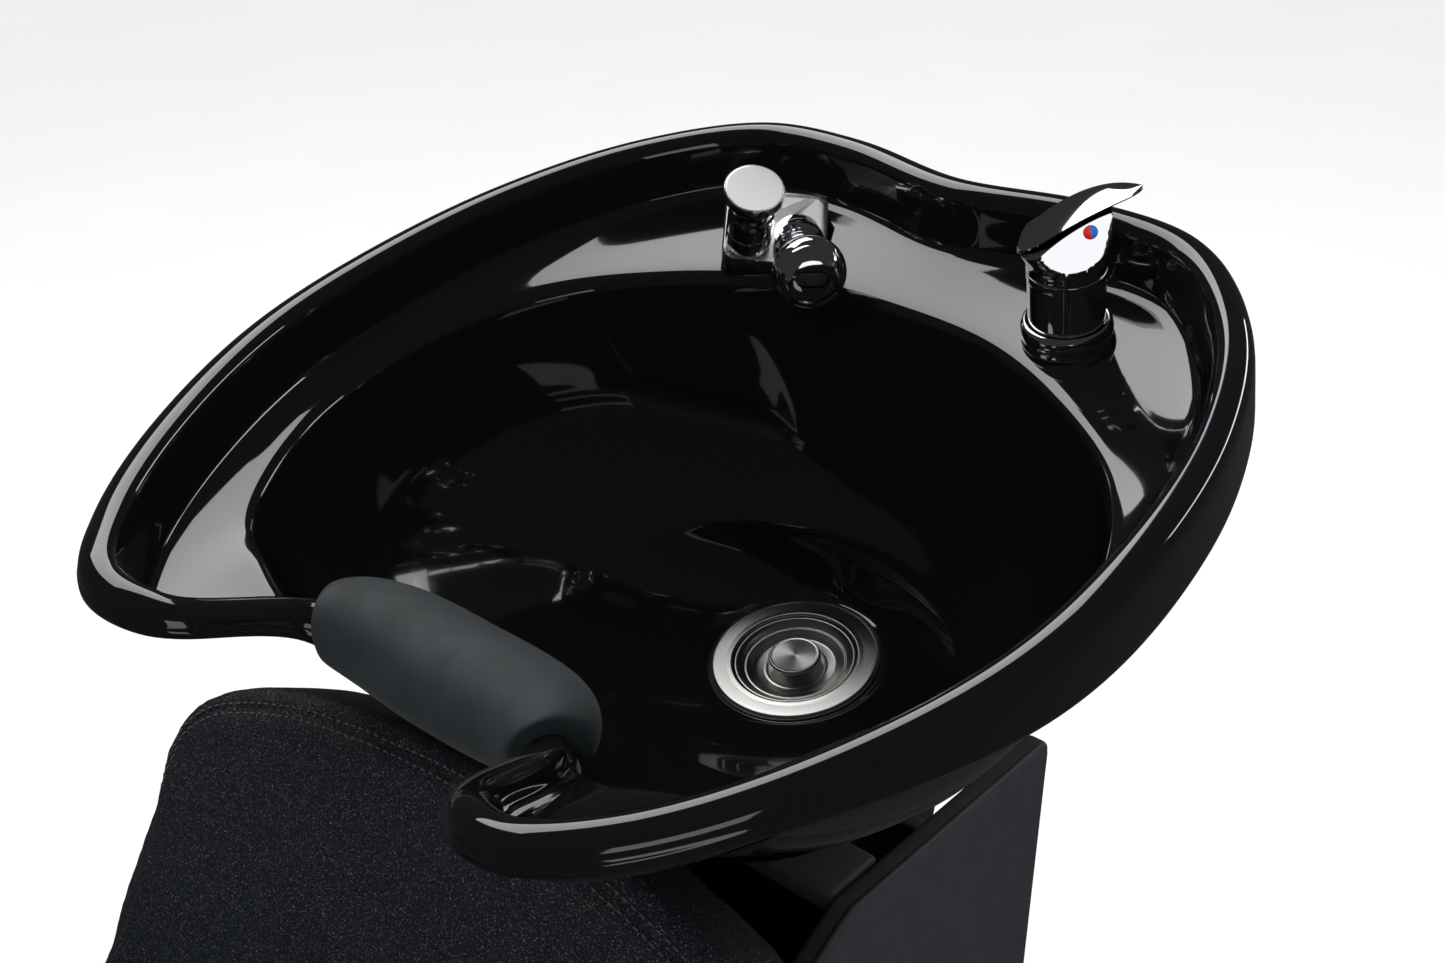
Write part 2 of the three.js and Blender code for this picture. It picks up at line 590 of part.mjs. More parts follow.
function addTiltStand() {
  const web = PEDESTAL.rear + GAP;
  const flange = [
    [web, STAND_FOOT], [web + PLATE, STAND_FOOT], [PIVOT.y + 18, PIVOT.z - 30],
    [PIVOT.y + 20, PIVOT.z + 4], [PIVOT.y + 8, PIVOT.z + 18], [PIVOT.y - 8, PIVOT.z + 18],
    [PIVOT.y - 20, PIVOT.z + 2], [web, PIVOT.z - 60],
  ];
  const x = EAR_X + PLATE + 3 + 2 * GAP;
  const sides = [-1, 1].map((side) => {
    const x0 = side > 0 ? x : -x - PLATE;
    return sidePlate(flange, x0, x0 + PLATE, [[PIVOT.y, PIVOT.z, 8 + GAP]]);
  });
  const back = block(-x - PLATE, x + PLATE, web, web + PLATE, STAND_FOOT, 625);
  add(unit, "tilt_stand", join(back, ...sides), BLACK_STEEL);
  const shaft = new THREE.CylinderGeometry(8, 8, 168, 24).rotateZ(Math.PI / 2);
  add(unit, "tilt_shaft", shaft, STEEL, 0, PIVOT.y, PIVOT.z);
  for (const [side, label] of [[-1, "left"], [1, "right"]]) {
    const washer = ring(8 + GAP, 15, -1.5, 1.5, 24).rotateY(Math.PI / 2);
    const at = side * (EAR_X + PLATE + GAP + 1.5);
    add(unit, `pivot_washer_${label}`, washer, WHITE_PLASTIC, at, PIVOT.y, PIVOT.z);
  }
  const nut = ring(8 + GAP, 14, -5, 5).rotateY(Math.PI / 2);
  add(unit, "shaft_nut", nut, STEEL, -(x + PLATE + 5 + GAP), PIVOT.y, PIVOT.z);
  const knob = new THREE.Shape();
  const lobes = 40;
  for (let i = 0; i < lobes; i += 1) {
    const angle = (i / lobes) * Math.PI * 2;
    const radius = 23 + 3 * Math.cos(5 * angle);
    knob[i ? "lineTo" : "moveTo"](radius * Math.cos(angle), radius * Math.sin(angle));
  }
  knob.holes.push(roundHole(0, 0, 8 + GAP));
  const knobBody = new THREE.ExtrudeGeometry(knob, { depth: 16, bevelEnabled: false, curveSegments: 12 })
    .rotateY(Math.PI / 2);
  add(unit, "tilt_knob", knobBody, RUBBER, x + PLATE + GAP, PIVOT.y, PIVOT.z);
}
addTiltStand();

// ---- pedestal ----
function addPedestal() {
  const { half, rear, front, top, shoulder, panel, foot } = PEDESTAL;
  const drop = (shoulder - front) * Math.tan(radians(29));
  const outline = [[front, foot], [rear, foot], [rear, top], [shoulder, top], [front, top - drop]];
  add(unit, "pedestal_side_left", sidePlate(outline, -half, -half + panel), PANEL_VINYL);
  add(unit, "pedestal_side_right", sidePlate(outline, half - panel, half), PANEL_VINYL);
  const inner = half - panel - GAP;
  add(unit, "pedestal_front", block(-inner, inner, front, front + 15, foot, top - drop - 8), PANEL_VINYL);
  const plinth = block(-inner + 10, inner - 10, front + 20, rear - 25, 0, foot + 20);
  add(unit, "pedestal_plinth", plinth, BLACK_STEEL);
  add(unit, "pedestal_top_rail", block(-inner, inner, shoulder, shoulder + 45, top - 18, top), PANEL_VINYL);
  add(unit, "service_panel", block(-inner, inner, rear - 15, rear, foot, SERVICE_TOP), PANEL_VINYL);
}
addPedestal();

// ---- chair ----
function backOutline() {
  const { half, height } = BACK;
  const outline = new THREE.Shape();
  const corner = 26;
  outline.moveTo(corner - half, -height);
  outline.lineTo(half - corner, -height);
  outline.quadraticCurveTo(half, -height, half, corner - height);
  outline.lineTo(half, -106);
  outline.bezierCurveTo(half, -39, 152, -5, 0, 0);
  outline.bezierCurveTo(-152, -5, -half, -39, -half, -106);
  outline.lineTo(-half, corner - height);
  outline.quadraticCurveTo(-half, -height, corner - half, -height);
  return outline;
}

function addBack() {
  const back = new THREE.Group();
  back.position.set(0, BACK.y, BACK.z);
  back.rotation.x = -radians(BACK.lean);
  unit.add(back);
  const cushion = new THREE.ExtrudeGeometry(backOutline(), {
    depth: BACK.thick - 16,
    bevelThickness: 8,
    bevelSize: 8,
    bevelOffset: -8,
    bevelSegments: 2,
    curveSegments: 9,
  })
    .rotateX(Math.PI / 2)
    .translate(0, BACK.thick - 8, 0);
  add(back, "back_cushion", cushion, VINYL);
  const board = block(-220, 220, BACK.thick + GAP, BACK.thick + 12, 14 - BACK.height, -70);
  add(back, "back_board", board, PLY);
  for (const [side, label] of [[-1, "left"], [1, "right"]]) {
    add(unit, `back_strap_${label}`, backStrap(), BLACK_STEEL, side * 125, 0, 0);
  }
}

// A flat steel strap up the back board, with a foot on the chair's frame.
function backStrap() {
  const lean = radians(BACK.lean);
  const thick = 6;
  const face = BACK.thick + 12 + GAP;
  const top = -110;
  const foot = FRAME_TOP + GAP;
  const onBack = (y, z) => [
    BACK.y + y * Math.cos(lean) + z * Math.sin(lean),
    BACK.z - y * Math.sin(lean) + z * Math.cos(lean),
  ];
  // the point at a given height on a line down the back
  const downTo = (y, height) => onBack(y, (height - BACK.z + y * Math.sin(lean)) / Math.cos(lean));
  const heel = downTo(face, foot);
  const outline = [
    onBack(face, top), heel, [heel[0] + 42, foot], [heel[0] + 42, foot + thick],
    downTo(face + thick, foot + thick), onBack(face + thick, top),
  ];
  return sidePlate(outline, -16, 16);
}
addBack();

function addSeat() {
  const { width, rear, front, top, thick } = SEAT;
  const middle = (rear + front) / 2;
  const length = rear - front;
  add(unit, "seat_cushion", cushionSlab(width, length, thick, 30, 12), VINYL, 0, middle, top - thick);
  const board = slab(width - 24, length - 20, SEAT_BOARD, 20);
  add(unit, "seat_board", board, PLY, 0, middle, top - thick - GAP - SEAT_BOARD);
  const railTop = FRAME_TOP;
  const reach = ARM.inner - GAP;
  const railFoot = railTop - 30;
  const rails = [front + 90, rear - 90].map((y) =>
    block(-reach, reach, y - 20, y + 20, railFoot, railTop));
  const links = [-125, 125].map((x) =>
    block(x - 16, x + 16, front + 90, PEDESTAL.front - GAP, railFoot, railTop));
  add(unit, "chair_frame", join(...rails, ...links), BLACK_STEEL);
}
addSeat();

function addArms() {
  const { inner, thick, rear, front, top } = ARM;
  const middle = (rear + front) / 2;
  for (const [side, label] of [[-1, "left"], [1, "right"]]) {
    const x = side * (inner + thick / 2);
    const outline = [
      [front + 40, 20], [rear - 30, 20], [rear, 60], [rear, top - 30], [rear - 30, top],
      [front + 40, top], [front, top - 40], [front, 60],
    ];
    add(unit, `arm_panel_${label}`, sidePlate(outline, x - thick / 2, x + thick / 2), PANEL_VINYL);
    add(unit, `arm_pad_${label}`, cushionSlab(62, 380, 28, 18, 6), VINYL, x, middle, top + GAP);
  }
}
addArms();

function addFeet() {
  const armX = ARM.inner + ARM.thick / 2;
  const places = [-armX, armX].flatMap((x) => [ARM.front + 90, ARM.rear - 80].map((y) => [x, y, 20]));
  places.forEach(([x, y, top], i) => {
    const foot = turned([[0, 0], [17, 0], [18, 3], [14, 12], [10, top - GAP], [0, top - GAP]], 20);
    add(unit, `foot_${i + 1}`, foot, RUBBER, x, y, 0);
  });
}
addFeet();

// The unit's own frame stands on the floor under the middle of its box.
unit.updateMatrixWorld(true);
const box = new THREE.Box3().setFromObject(unit, true);
unit.position.y = -(box.min.y + box.max.y) / 2;
unit.updateMatrixWorld(true);

export default unit;
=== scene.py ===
"""Shampoo backwash unit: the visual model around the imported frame. Metres, +Z up, client towards -Y."""
import json
import math

import bmesh
import bpy
from mathutils import Matrix, Vector, noise
from mathutils.bvhtree import BVHTree
from mathutils.kdtree import KDTree

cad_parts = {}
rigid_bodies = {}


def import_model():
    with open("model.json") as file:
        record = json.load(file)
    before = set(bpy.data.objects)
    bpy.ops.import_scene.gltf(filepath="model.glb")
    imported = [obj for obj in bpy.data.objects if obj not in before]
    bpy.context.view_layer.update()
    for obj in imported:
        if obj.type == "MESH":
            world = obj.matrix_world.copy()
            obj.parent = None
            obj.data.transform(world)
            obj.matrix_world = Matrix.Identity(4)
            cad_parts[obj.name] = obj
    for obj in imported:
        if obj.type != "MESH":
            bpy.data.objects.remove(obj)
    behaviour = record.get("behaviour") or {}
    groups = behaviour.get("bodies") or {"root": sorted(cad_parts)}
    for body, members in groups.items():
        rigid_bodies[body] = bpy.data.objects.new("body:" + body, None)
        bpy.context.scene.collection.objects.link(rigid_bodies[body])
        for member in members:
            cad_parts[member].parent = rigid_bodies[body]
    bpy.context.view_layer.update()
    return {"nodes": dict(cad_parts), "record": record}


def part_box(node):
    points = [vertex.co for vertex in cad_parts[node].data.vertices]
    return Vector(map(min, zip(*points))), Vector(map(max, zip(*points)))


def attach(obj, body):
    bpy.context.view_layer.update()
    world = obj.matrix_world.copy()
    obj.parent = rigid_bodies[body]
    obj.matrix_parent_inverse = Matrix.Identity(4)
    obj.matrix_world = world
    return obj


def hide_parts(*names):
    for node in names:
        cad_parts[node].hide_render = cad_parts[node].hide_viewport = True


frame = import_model()

MM = 0.001
CHAIR = "pedestal_and_chair"  # the body that stands still
RIM_HEIGHT = 0.925
BOWL_TILT = 10.6
PEDESTAL_REAR = 0.167  # pedestal's rear face, behind the middle of the bowl's rim
RIM_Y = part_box("service_panel")[1].y - PEDESTAL_REAR
RIM_CENTRE = Vector((0, RIM_Y, RIM_HEIGHT))


# ---- camera ----
CAMERA = {"azimuth": 41.12, "elevation": 29.39, "lens": 43.84, "offset": (0.6044, -0.6609, 0.4374)}


def add_camera():
    data = bpy.data.cameras.new("camera")
    data.lens = CAMERA["lens"]
    data.sensor_width = 36
    data.clip_end = 60
    camera = bpy.data.objects.new("camera", data)
    bpy.context.collection.objects.link(camera)
    camera.location = RIM_CENTRE + Vector(CAMERA["offset"])
    camera.rotation_euler = (math.radians(90 - CAMERA["elevation"]), 0, math.radians(CAMERA["azimuth"]))
    bpy.context.scene.camera = camera


# ---- materials ----
class Shader:
    """A node material being put together: a principled shader with helpers for bump and variation."""

    def __init__(self, name, color, roughness, metallic=0.0, **inputs):
        self.material = bpy.data.materials.new(name)
        self.material.use_nodes = True
        self.nodes = self.material.node_tree.nodes
        self.links = self.material.node_tree.links
        self.principled = self.nodes["Principled BSDF"]
        self.set("Base Color", (*color, 1))
        self.set("Roughness", roughness)
        self.set("Metallic", metallic)
        for key, value in inputs.items():
            self.set(key.replace("_", " "), value)

    def set(self, socket, value):
        self.principled.inputs[socket].default_value = value

    def node(self, kind, **values):
        node = self.nodes.new(kind)
        for key, value in values.items():
            if key in node.inputs:
                node.inputs[key].default_value = value
            else:
                setattr(node, key, value)
        return node

    def coords(self, scale=(1, 1, 1)):
        where = self.node("ShaderNodeTexCoord")
        mapping = self.node("ShaderNodeMapping")
        mapping.inputs["Scale"].default_value = scale
        self.links.new(where.outputs["Object"], mapping.inputs["Vector"])
        return mapping.outputs["Vector"]

    def noise(self, scale, detail=3.0, rough=0.55, stretch=(1, 1, 1)):
        node = self.node("ShaderNodeTexNoise", Scale=scale, Detail=detail, Roughness=rough)
        self.links.new(self.coords(stretch), node.inputs["Vector"])
        return node.outputs["Fac"]

    def cells(self, scale):
        node = self.node("ShaderNodeTexVoronoi", Scale=scale)
        self.links.new(self.coords(), node.inputs["Vector"])
        return node.outputs["Distance"]

    def ramp(self, factor, low, high, start=0.0, end=1.0):
        node = self.node("ShaderNodeMapRange")
        values = {"From Min": start, "From Max": end, "To Min": low, "To Max": high}
        for key, value in values.items():
            node.inputs[key].default_value = value
        self.links.new(factor, node.inputs["Value"])
        return node.outputs["Result"]

    def tint(self, factor, dark, light):
        """Mixes two colours into the base colour; dark is a colour, or None for the mix made so far."""
        node = self.node("ShaderNodeMix", data_type="RGBA")
        base = self.principled.inputs["Base Color"]
        if dark:
            node.inputs["A"].default_value = (*dark, 1)
        else:
            self.links.new(base.links[0].from_socket, node.inputs["A"])
        node.inputs["B"].default_value = (*light, 1)
        self.links.new(factor, node.inputs["Factor"])
        self.links.new(node.outputs["Result"], base)
        return self

    def rough(self, factor, low, high):
        self.links.new(self.ramp(factor, low, high), self.principled.inputs["Roughness"])
        return self

    def bump(self, height, strength, distance):
        node = self.node("ShaderNodeBump", Strength=strength, Distance=distance)
        self.links.new(height, node.inputs["Height"])
        last = self.principled.inputs["Normal"]
        if last.links:
            self.links.new(last.links[0].from_socket, node.inputs["Normal"])
        self.links.new(node.outputs["Normal"], last)
        return self


def gloss_black():
    shader = Shader("gloss_black", (0.0035, 0.0036, 0.0042), 0.05, Coat_Weight=1.0, Coat_Roughness=0.02)
    shader.set("IOR", 1.5)
    shader.rough(shader.noise(5, 4), 0.035, 0.09)
    return shader.bump(shader.noise(22, 2), 0.02, 0.002).material


def pad_grey():
    shader = Shader("pad_grey", (0.03, 0.041, 0.045), 0.62, Sheen_Weight=0.08, Sheen_Roughness=0.5)
    blotch = shader.noise(38, 5, 0.6)
    shader.tint(blotch, (0.007, 0.011, 0.014), (0.021, 0.03, 0.034))
    shader.rough(shader.noise(60, 4), 0.5, 0.72)
    shader.bump(shader.noise(900, 3), 0.12, 0.0003)
    return shader.bump(shader.noise(45, 3), 0.12, 0.002).material


def even(name, color, metallic, rough, bump):
    """One colour; rough is a noise's scale, detail and range, bump its scale, detail, strength and depth."""
    shader = Shader(name, color, rough[2], metallic)
    shader.rough(shader.noise(*rough[:2]), *rough[2:])
    return shader.bump(shader.noise(*bump[:2]), *bump[2:]).material


def brushed(name, color, ridge):
    """Turned steel: fine rings about the piece's own Z, with the anisotropy that goes with them."""
    shader = Shader(name, color, 0.3, 1.0, Anisotropic=0.75)
    tangent = shader.node("ShaderNodeTangent", direction_type="RADIAL", axis="Z")
    shader.links.new(tangent.outputs["Tangent"], shader.principled.inputs["Tangent"])
    radius = shader.node("ShaderNodeVectorMath", operation="LENGTH")
    shader.links.new(shader.coords((1, 1, 0)), radius.inputs[0])
    rings = shader.node("ShaderNodeTexNoise", noise_dimensions="1D", Scale=ridge, Detail=4.0, Roughness=0.7)
    shader.links.new(radius.outputs["Value"], rings.inputs["W"])
    shader.rough(rings.outputs["Fac"], 0.2, 0.42)
    return shader.bump(rings.outputs["Fac"], 0.08, 0.0002).material


def vinyl(name, dark, light, roughness, grain, depth):
    """Grained upholstery vinyl: pebbled cells over soft creases."""
    shader = Shader(name, light, roughness, Specular_IOR_Level=0.5)
    shader.tint(shader.noise(60, 5, 0.65), dark, light)
    shader.rough(shader.noise(grain * 0.6, 4, 0.7), roughness - 0.12, roughness + 0.14)
    shader.bump(shader.cells(grain), depth, 0.0006)
    shader.bump(shader.noise(grain * 1.9, 3), depth * 0.6, 0.0003)
    return shader.bump(shader.noise(26, 3), 0.12, 0.003)


def glint_speckled(shader):
    """Adds fine pale flecks to a vinyl's colour: painted highlights, standing for glints off its grain."""
    # painted highlights: pale flecks in the base colour where the grain would catch the light
    painted_glints = shader.ramp(shader.noise(1100, 2, 0.6), 0.0, 1.0, 0.6, 0.68)
    return shader.tint(painted_glints, None, (0.13, 0.135, 0.14)).material


def painted(name, dark, light):
    """Powder-coated steel, a little orange-peeled and rubbed lighter in patches."""
    shader = Shader(name, light, 0.45)
    shader.tint(shader.noise(14, 5), dark, light)
    shader.rough(shader.noise(90, 4), 0.36, 0.56)
    return shader.bump(shader.noise(480, 3), 0.18, 0.0004).material


def plywood():
    shader = Shader("plywood", (0.45, 0.32, 0.18), 0.7)
    shader.tint(shader.noise(9, 6, 0.7, (1, 14, 14)), (0.3, 0.19, 0.1), (0.55, 0.4, 0.24))
    return shader.bump(shader.noise(60, 4, 0.7, (1, 12, 12)), 0.2, 0.0006).material


def thread():
    shader = Shader("thread", (0.04, 0.042, 0.046), 0.45)
    shader.tint(shader.noise(900, 2), (0.02, 0.021, 0.023), (0.06, 0.062, 0.068))
    return shader.bump(shader.noise(2400, 2), 0.3, 0.0002).material


def pale_floor():
    shader = Shader("pale_floor", (0.86, 0.86, 0.86), 0.85)
    shader.tint(shader.noise(3, 3), (0.84, 0.84, 0.845), (0.88, 0.88, 0.88))
    return shader.material


LOOKS = {
    "gloss_black": gloss_black(),
    "pad_grey": pad_grey(),
    "brushed_steel": brushed("brushed_steel", (0.66, 0.65, 0.63), 900),
    "steel_hardware": even(
        "steel_hardware", (0.55, 0.55, 0.57), 1, (120, 4, 0.25, 0.45), (360, 3, 0.06, 0.0003)
    ),
    "rubber": even("rubber", (0.012, 0.012, 0.013), 0, (200, 3, 0.5, 0.75), (700, 3, 0.15, 0.0003)),
    "brass": even("brass", (0.72, 0.55, 0.28), 1, (90, 4, 0.2, 0.42), (270, 3, 0.06, 0.0003)),
    "chrome": even("chrome", (0.83, 0.84, 0.86), 1, (30, 4, 0.025, 0.075), (120, 2, 0.01, 0.0004)),
    "pale_chrome": even("pale_chrome", (0.86, 0.86, 0.88), 1, (70, 4, 0.24, 0.36), (420, 3, 0.04, 0.0002)),
    "white_plastic": even(
        "white_plastic", (0.78, 0.78, 0.75), 0, (80, 3, 0.39, 0.53), (500, 2, 0.06, 0.0002)
    ),
    "red": even("red", (0.72, 0.02, 0.02), 0, (80, 3, 0.19, 0.33), (500, 2, 0.06, 0.0002)),
    "blue": even("blue", (0.03, 0.16, 0.62), 0, (80, 3, 0.19, 0.33), (500, 2, 0.06, 0.0002)),
    "black_steel": painted("black_steel", (0.012, 0.012, 0.014), (0.03, 0.03, 0.034)),
    "plinth_black": painted("plinth_black", (0.01, 0.01, 0.011), (0.022, 0.022, 0.024)),
    # the seat vinyl carries painted highlight flecks in its colour
    "seat_vinyl": glint_speckled(
        vinyl("seat_vinyl", (0.005, 0.0075, 0.011), (0.011, 0.0145, 0.019), 0.38, 620, 0.8)
    ),
    "panel_vinyl": vinyl(
        "panel_vinyl", (0.022, 0.023, 0.028), (0.036, 0.037, 0.044), 0.48, 900, 0.12
    ).material,
    "plywood": plywood(),
    "thread": thread(),
}


def finish_cad_nodes():
    """Gives every CAD node the look of its slot; the ones that a piece replaces aren't shown."""
    slots = {part["node"]: part["material_slot"] for part in frame["record"]["subparts"]}
    looks = {**LOOKS, "indicator": LOOKS["red"]}
    for name, node in frame["nodes"].items():
        look = looks[slots[name]]
        for slot in node.material_slots:
            slot.material = look
        if not node.material_slots:
            node.data.materials.append(look)


# ---- mesh helpers ----
def mesh_piece(name, verts, faces, look, place=Matrix(), sharp=35.0):
    data = bpy.data.meshes.new(name)
    data.from_pydata([tuple(v) for v in verts], [], faces)
    shell = bmesh.new()
    shell.from_mesh(data)
    bmesh.ops.recalc_face_normals(shell, faces=shell.faces)
    shell.to_mesh(data)
    shell.free()
    data.shade_smooth()
    data.set_sharp_from_angle(angle=math.radians(sharp))
    data.materials.append(LOOKS[look])
    piece = bpy.data.objects.new(name, data)
    bpy.context.collection.objects.link(piece)
    piece.matrix_world = place
    return piece


def belongs(piece, body, slot, *nodes):
    """The piece rides on a body and stands for the nodes, if any; slot is not used."""
    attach(piece, body)
    if nodes:
        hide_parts(*nodes)
    return piece


def polar(r, angle, z):
    """A point about the Z axis, from millimetres to metres."""
    return Vector((r * math.cos(angle), r * math.sin(angle), z)) * MM


def turn(step, steps):
    return 2 * math.pi * step / steps


def grid_faces(rows, columns, first=0):
    """Faces of an open grid of points, laid row by row from the point first on."""
    corners = [first + j * (columns + 1) + i for j in range(rows) for i in range(columns)]
    return [(a, a + 1, a + columns + 2, a + columns + 1) for a in corners]


def thicken(piece, depth):
    """Gives an open skin a thickness inwards, in millimetres."""
    body = piece.modifiers.new("body", "SOLIDIFY")
    body.thickness = depth * MM
    body.offset = -1


def ring_faces(rows, corners, closed):
    """Faces between rings of points that lie one after another; closed joins the last ring to the first."""
    faces = []
    for j in range(rows if closed else rows - 1):
        k = (j + 1) % rows
        for i in range(corners):
            n = (i + 1) % corners
            faces.append((j * corners + i, j * corners + n, k * corners + n, k * corners + i))
    return faces


def bend(a, b, c, reach, steps):
    """Points that round off the corner b between a and c."""
    start, end = (b + (p - b).normalized() * reach for p in (a, c))
    return [start.lerp(b, k / steps).lerp(b.lerp(end, k / steps), k / steps) for k in range(steps + 1)]


def rounded_profile(points, radius):
    """A lathe profile with its inner corners rounded off; points are (r, z) in millimetres."""
    points = [Vector(p) for p in points]
    result = points[:1]
    for a, b, c in zip(points, points[1:], points[2:]):
        result += bend(a, b, c, min(radius, (b - a).length * 0.45, (c - b).length * 0.45), 4)
    return result + points[-1:]


def lathe(name, points, look, place, radius=0.5, segments=96, sharp=35.0):
    """A turned piece about its own Z. A profile off the axis closes on itself, else its ends are on it."""
    ring = points[0][0] > 0
    outline = rounded_profile(points + points[:1] if ring else points, radius)
    if ring:
        outline = outline[:-1]
    verts, index = [], []
    for r, z in outline:
        if r < 1e-6:
            index.append([len(verts)] * segments)
            verts.append(Vector((0, 0, z * MM)))
            continue
        index.append(range(len(verts), len(verts) + segments))
        verts += [polar(r, turn(i, segments), z) for i in range(segments)]
    faces = []
    rows = len(outline)
    for j in range(rows if ring else rows - 1):
        low, high = index[j], index[(j + 1) % rows]
        for i in range(segments):
            n = (i + 1) % segments
            face = tuple(dict.fromkeys((low[i], low[n], high[n], high[i])))
            if len(face) > 2:
                faces.append(face)
    return mesh_piece(name, verts, faces, look, place, sharp)


def copy_of(node, name, look):
    """A new piece with a copy of a CAD node's mesh, and that mesh open for editing, its corners joined."""
    source = frame["nodes"][node]
    data = source.data.copy()
    data.materials.clear()
    data.materials.append(LOOKS[look])
    piece = bpy.data.objects.new(name, data)
    bpy.context.collection.objects.link(piece)
    piece.matrix_world = source.matrix_world.copy()
    shape = bmesh.new()
    shape.from_mesh(data)
    bmesh.ops.remove_doubles(shape, verts=shape.verts, dist=1e-6)
    return piece, shape


def softened(name, node, look, width, segments=3):
    """A finer copy of a solid, with flat faces made whole and sharp edges rounded."""
    piece, shape = copy_of(node, name, look)
    bmesh.ops.dissolve_limit(shape, angle_limit=math.radians(2), verts=shape.verts, edges=shape.edges)
    edges = [e for e in shape.edges if e.calc_face_angle(0) > math.radians(15)]
    bmesh.ops.bevel(
        shape, geom=edges, offset=width, segments=segments, profile=0.5, affect="EDGES", clamp_overlap=True
    )
    shape.to_mesh(piece.data)
    shape.free()
    piece.data.shade_smooth()
    piece.data.set_sharp_from_angle(angle=math.radians(40))
    return piece


def body_of_node(node):
    """The name of the CAD body that holds a node."""
    bodies = frame["record"]["behaviour"]["bodies"]
    return next(body for body, nodes in bodies.items() if node in nodes)


# ---- places in the unit's frame ----
BOWL = Matrix.Translation(RIM_CENTRE) @ Matrix.Rotation(math.radians(BOWL_TILT), 4, "X")


def turned_place(parent, at, yaw=0.0, tilt=0.0, spin=0.0):
    """A place turned about Z by yaw, then about X by tilt, then about its own Z by spin; at is in mm."""
    return (
        parent
        @ Matrix.Translation(Vector(at) * MM)
        @ Matrix.Rotation(math.radians(yaw), 4, "Z")
        @ Matrix.Rotation(math.radians(tilt), 4, "X")
        @ Matrix.Rotation(math.radians(spin), 4, "Z")
    )


TAP = turned_place(BOWL, (118, 210, -48), 41)
FITTING = turned_place(BOWL, (-109, 208, -37), 65.7, 25, -30)
BREAKER = turned_place(FITTING, (-18, -14.5, 0.3))
SPRAY = turned_place(FITTING, (16, -11, 0), 7, 56)
DRAIN = turned_place(BOWL, (0, 58, -263))

# ---- the bowl ----
RIM_CREST = [
    (0, 262, 0), (92, 276, 0), (165, 267, 0), (228, 204, 0), (268, 110, 0), (283, 7, 0), (278, -90, 0),
    (244, -187, 0), (199, -258, 0), (157, -292, 0), (118, -284, -10), (90, -216, -52), (0, -203, -68),
]
BASIN_MOUTH = [
    (0, 193, -58), (75, 187, -58), (140, 160, -58), (203, 112, -58), (240, 50, -57), (252, -12, -56),
    (247, -80, -55), (224, -140, -55), (190, -186, -56), (150, -206, -57), (118, -214, -64), (80, -192, -90),
    (0, -181, -101),
]
SHELL = 6.0
BEAD = 11.0
DECK_OUTER_Z = -43.0
SKIRT = {"horn": 18.0, "side": 48.0}
SUMP = {"y": 18.0, "z": -215.0, "rx": 149.0, "ry": 114.0}
DRAIN_SEAT = {"y": 58.0, "z": -263.0, "flange": 57.0, "hole": 46.0}
BOWL_STEPS = 168


def hermite(t, a, slope_a, b, slope_b):
    """The cubic from a to b with the given slopes, at t from 0 to 1."""
    cubic = (2 * t**3 - 3 * t**2 + 1) * a + (t**3 - 2 * t**2 + t) * slope_a
    return cubic + (3 * t**2 - 2 * t**3) * b + (t**3 - t**2) * slope_b


def closed_curve(half, steps):
    """Points of the closed centripetal Catmull-Rom curve through a half outline and its mirror image."""
    points = [Vector(p) for p in half] + [Vector((-x, y, z)) for x, y, z in half[1:-1][::-1]]
    count = len(points)
    result = []
    for step in range(steps):
        place = step * count / steps
        i = int(place)
        t = place - i
        a, b, c, d = (points[(i + k - 1) % count] for k in range(4))
        before, middle, after = ((q - p).length ** 0.5 for p, q in ((a, b), (b, c), (c, d)))
        slope_b = ((b - a) / before - (c - a) / (before + middle) + (c - b) / middle) * middle
        slope_c = ((c - b) / middle - (d - b) / (middle + after) + (d - c) / after) * middle
        result.append(hermite(t, b, slope_b, c, slope_c))
    return result


def outwards(points):
    count = len(points)
    spans = [points[(i + 1) % count] - points[i - 1] for i in range(count)]
    return [Vector((-span.y, span.x, 0)).normalized() for span in spans]


def smoothstep(value, low, high):
    t = min(1.0, max(0.0, (value - low) / (high - low)))
    return t * t * (3 - 2 * t)


CREST = closed_curve(RIM_CREST, BOWL_STEPS)
CREST_OUT = outwards(CREST)
MOUTH = closed_curve(BASIN_MOUTH, BOWL_STEPS)
MOUTH_OUT = outwards(MOUTH)
RECESS = [min(1.0, max(0.0, -p.z / 68)) for p in CREST]


def offset_ring(points, normals, out, rise):
    return [Vector((*(p + n * out).xy, p.z + rise)) for p, n in zip(points, normals)]


def from_crest(out, rise):
    return offset_ring(CREST, CREST_OUT, out, rise)


def from_mouth(out, rise):
    return offset_ring(MOUTH, MOUTH_OUT, out, rise)


def skirt_ring(out, share, lift=0.0):
    """A ring on the skirt, a share of the way down from the crest to its lower edge."""
    ring = from_crest(out, 0)
    for p, rim in zip(ring, CREST):
        depth = SKIRT["horn"] + (SKIRT["side"] - SKIRT["horn"]) * smoothstep(rim.y, -270, 20)
        p.z -= depth * share - lift
    return ring


def sump_ring(rx, ry, y, z):
    angles = [math.atan2(p.x / SUMP["rx"], (p.y - SUMP["y"]) / SUMP["ry"]) for p in MOUTH]
    return [Vector((rx * math.sin(a), y + ry * math.cos(a), z)) for a in angles]


def deck_foot(out, rise):
    ring = from_crest(out, 0)
    for p, rim in zip(ring, CREST):
        p.z = min(DECK_OUTER_Z, rim.z - 24) + rise
    return ring


def wall_ring(share, fullness, grow=0.0, drop=0.0):
    """The basin's wall: share is how far up it is, fullness how far out, both from the sump to the mouth."""
    sump = sump_ring(SUMP["rx"], SUMP["ry"], SUMP["y"], SUMP["z"])
    ring = []
    for low, high, out, deep in zip(sump, MOUTH, MOUTH_OUT, RECESS):
        p = low.lerp(high, fullness)
        p.z = high.z + (SUMP["z"] - high.z) * (1 - share * (1 + 0.25 * deep * (1 - share))) - drop
        ring.append(p + out * grow)
    return ring


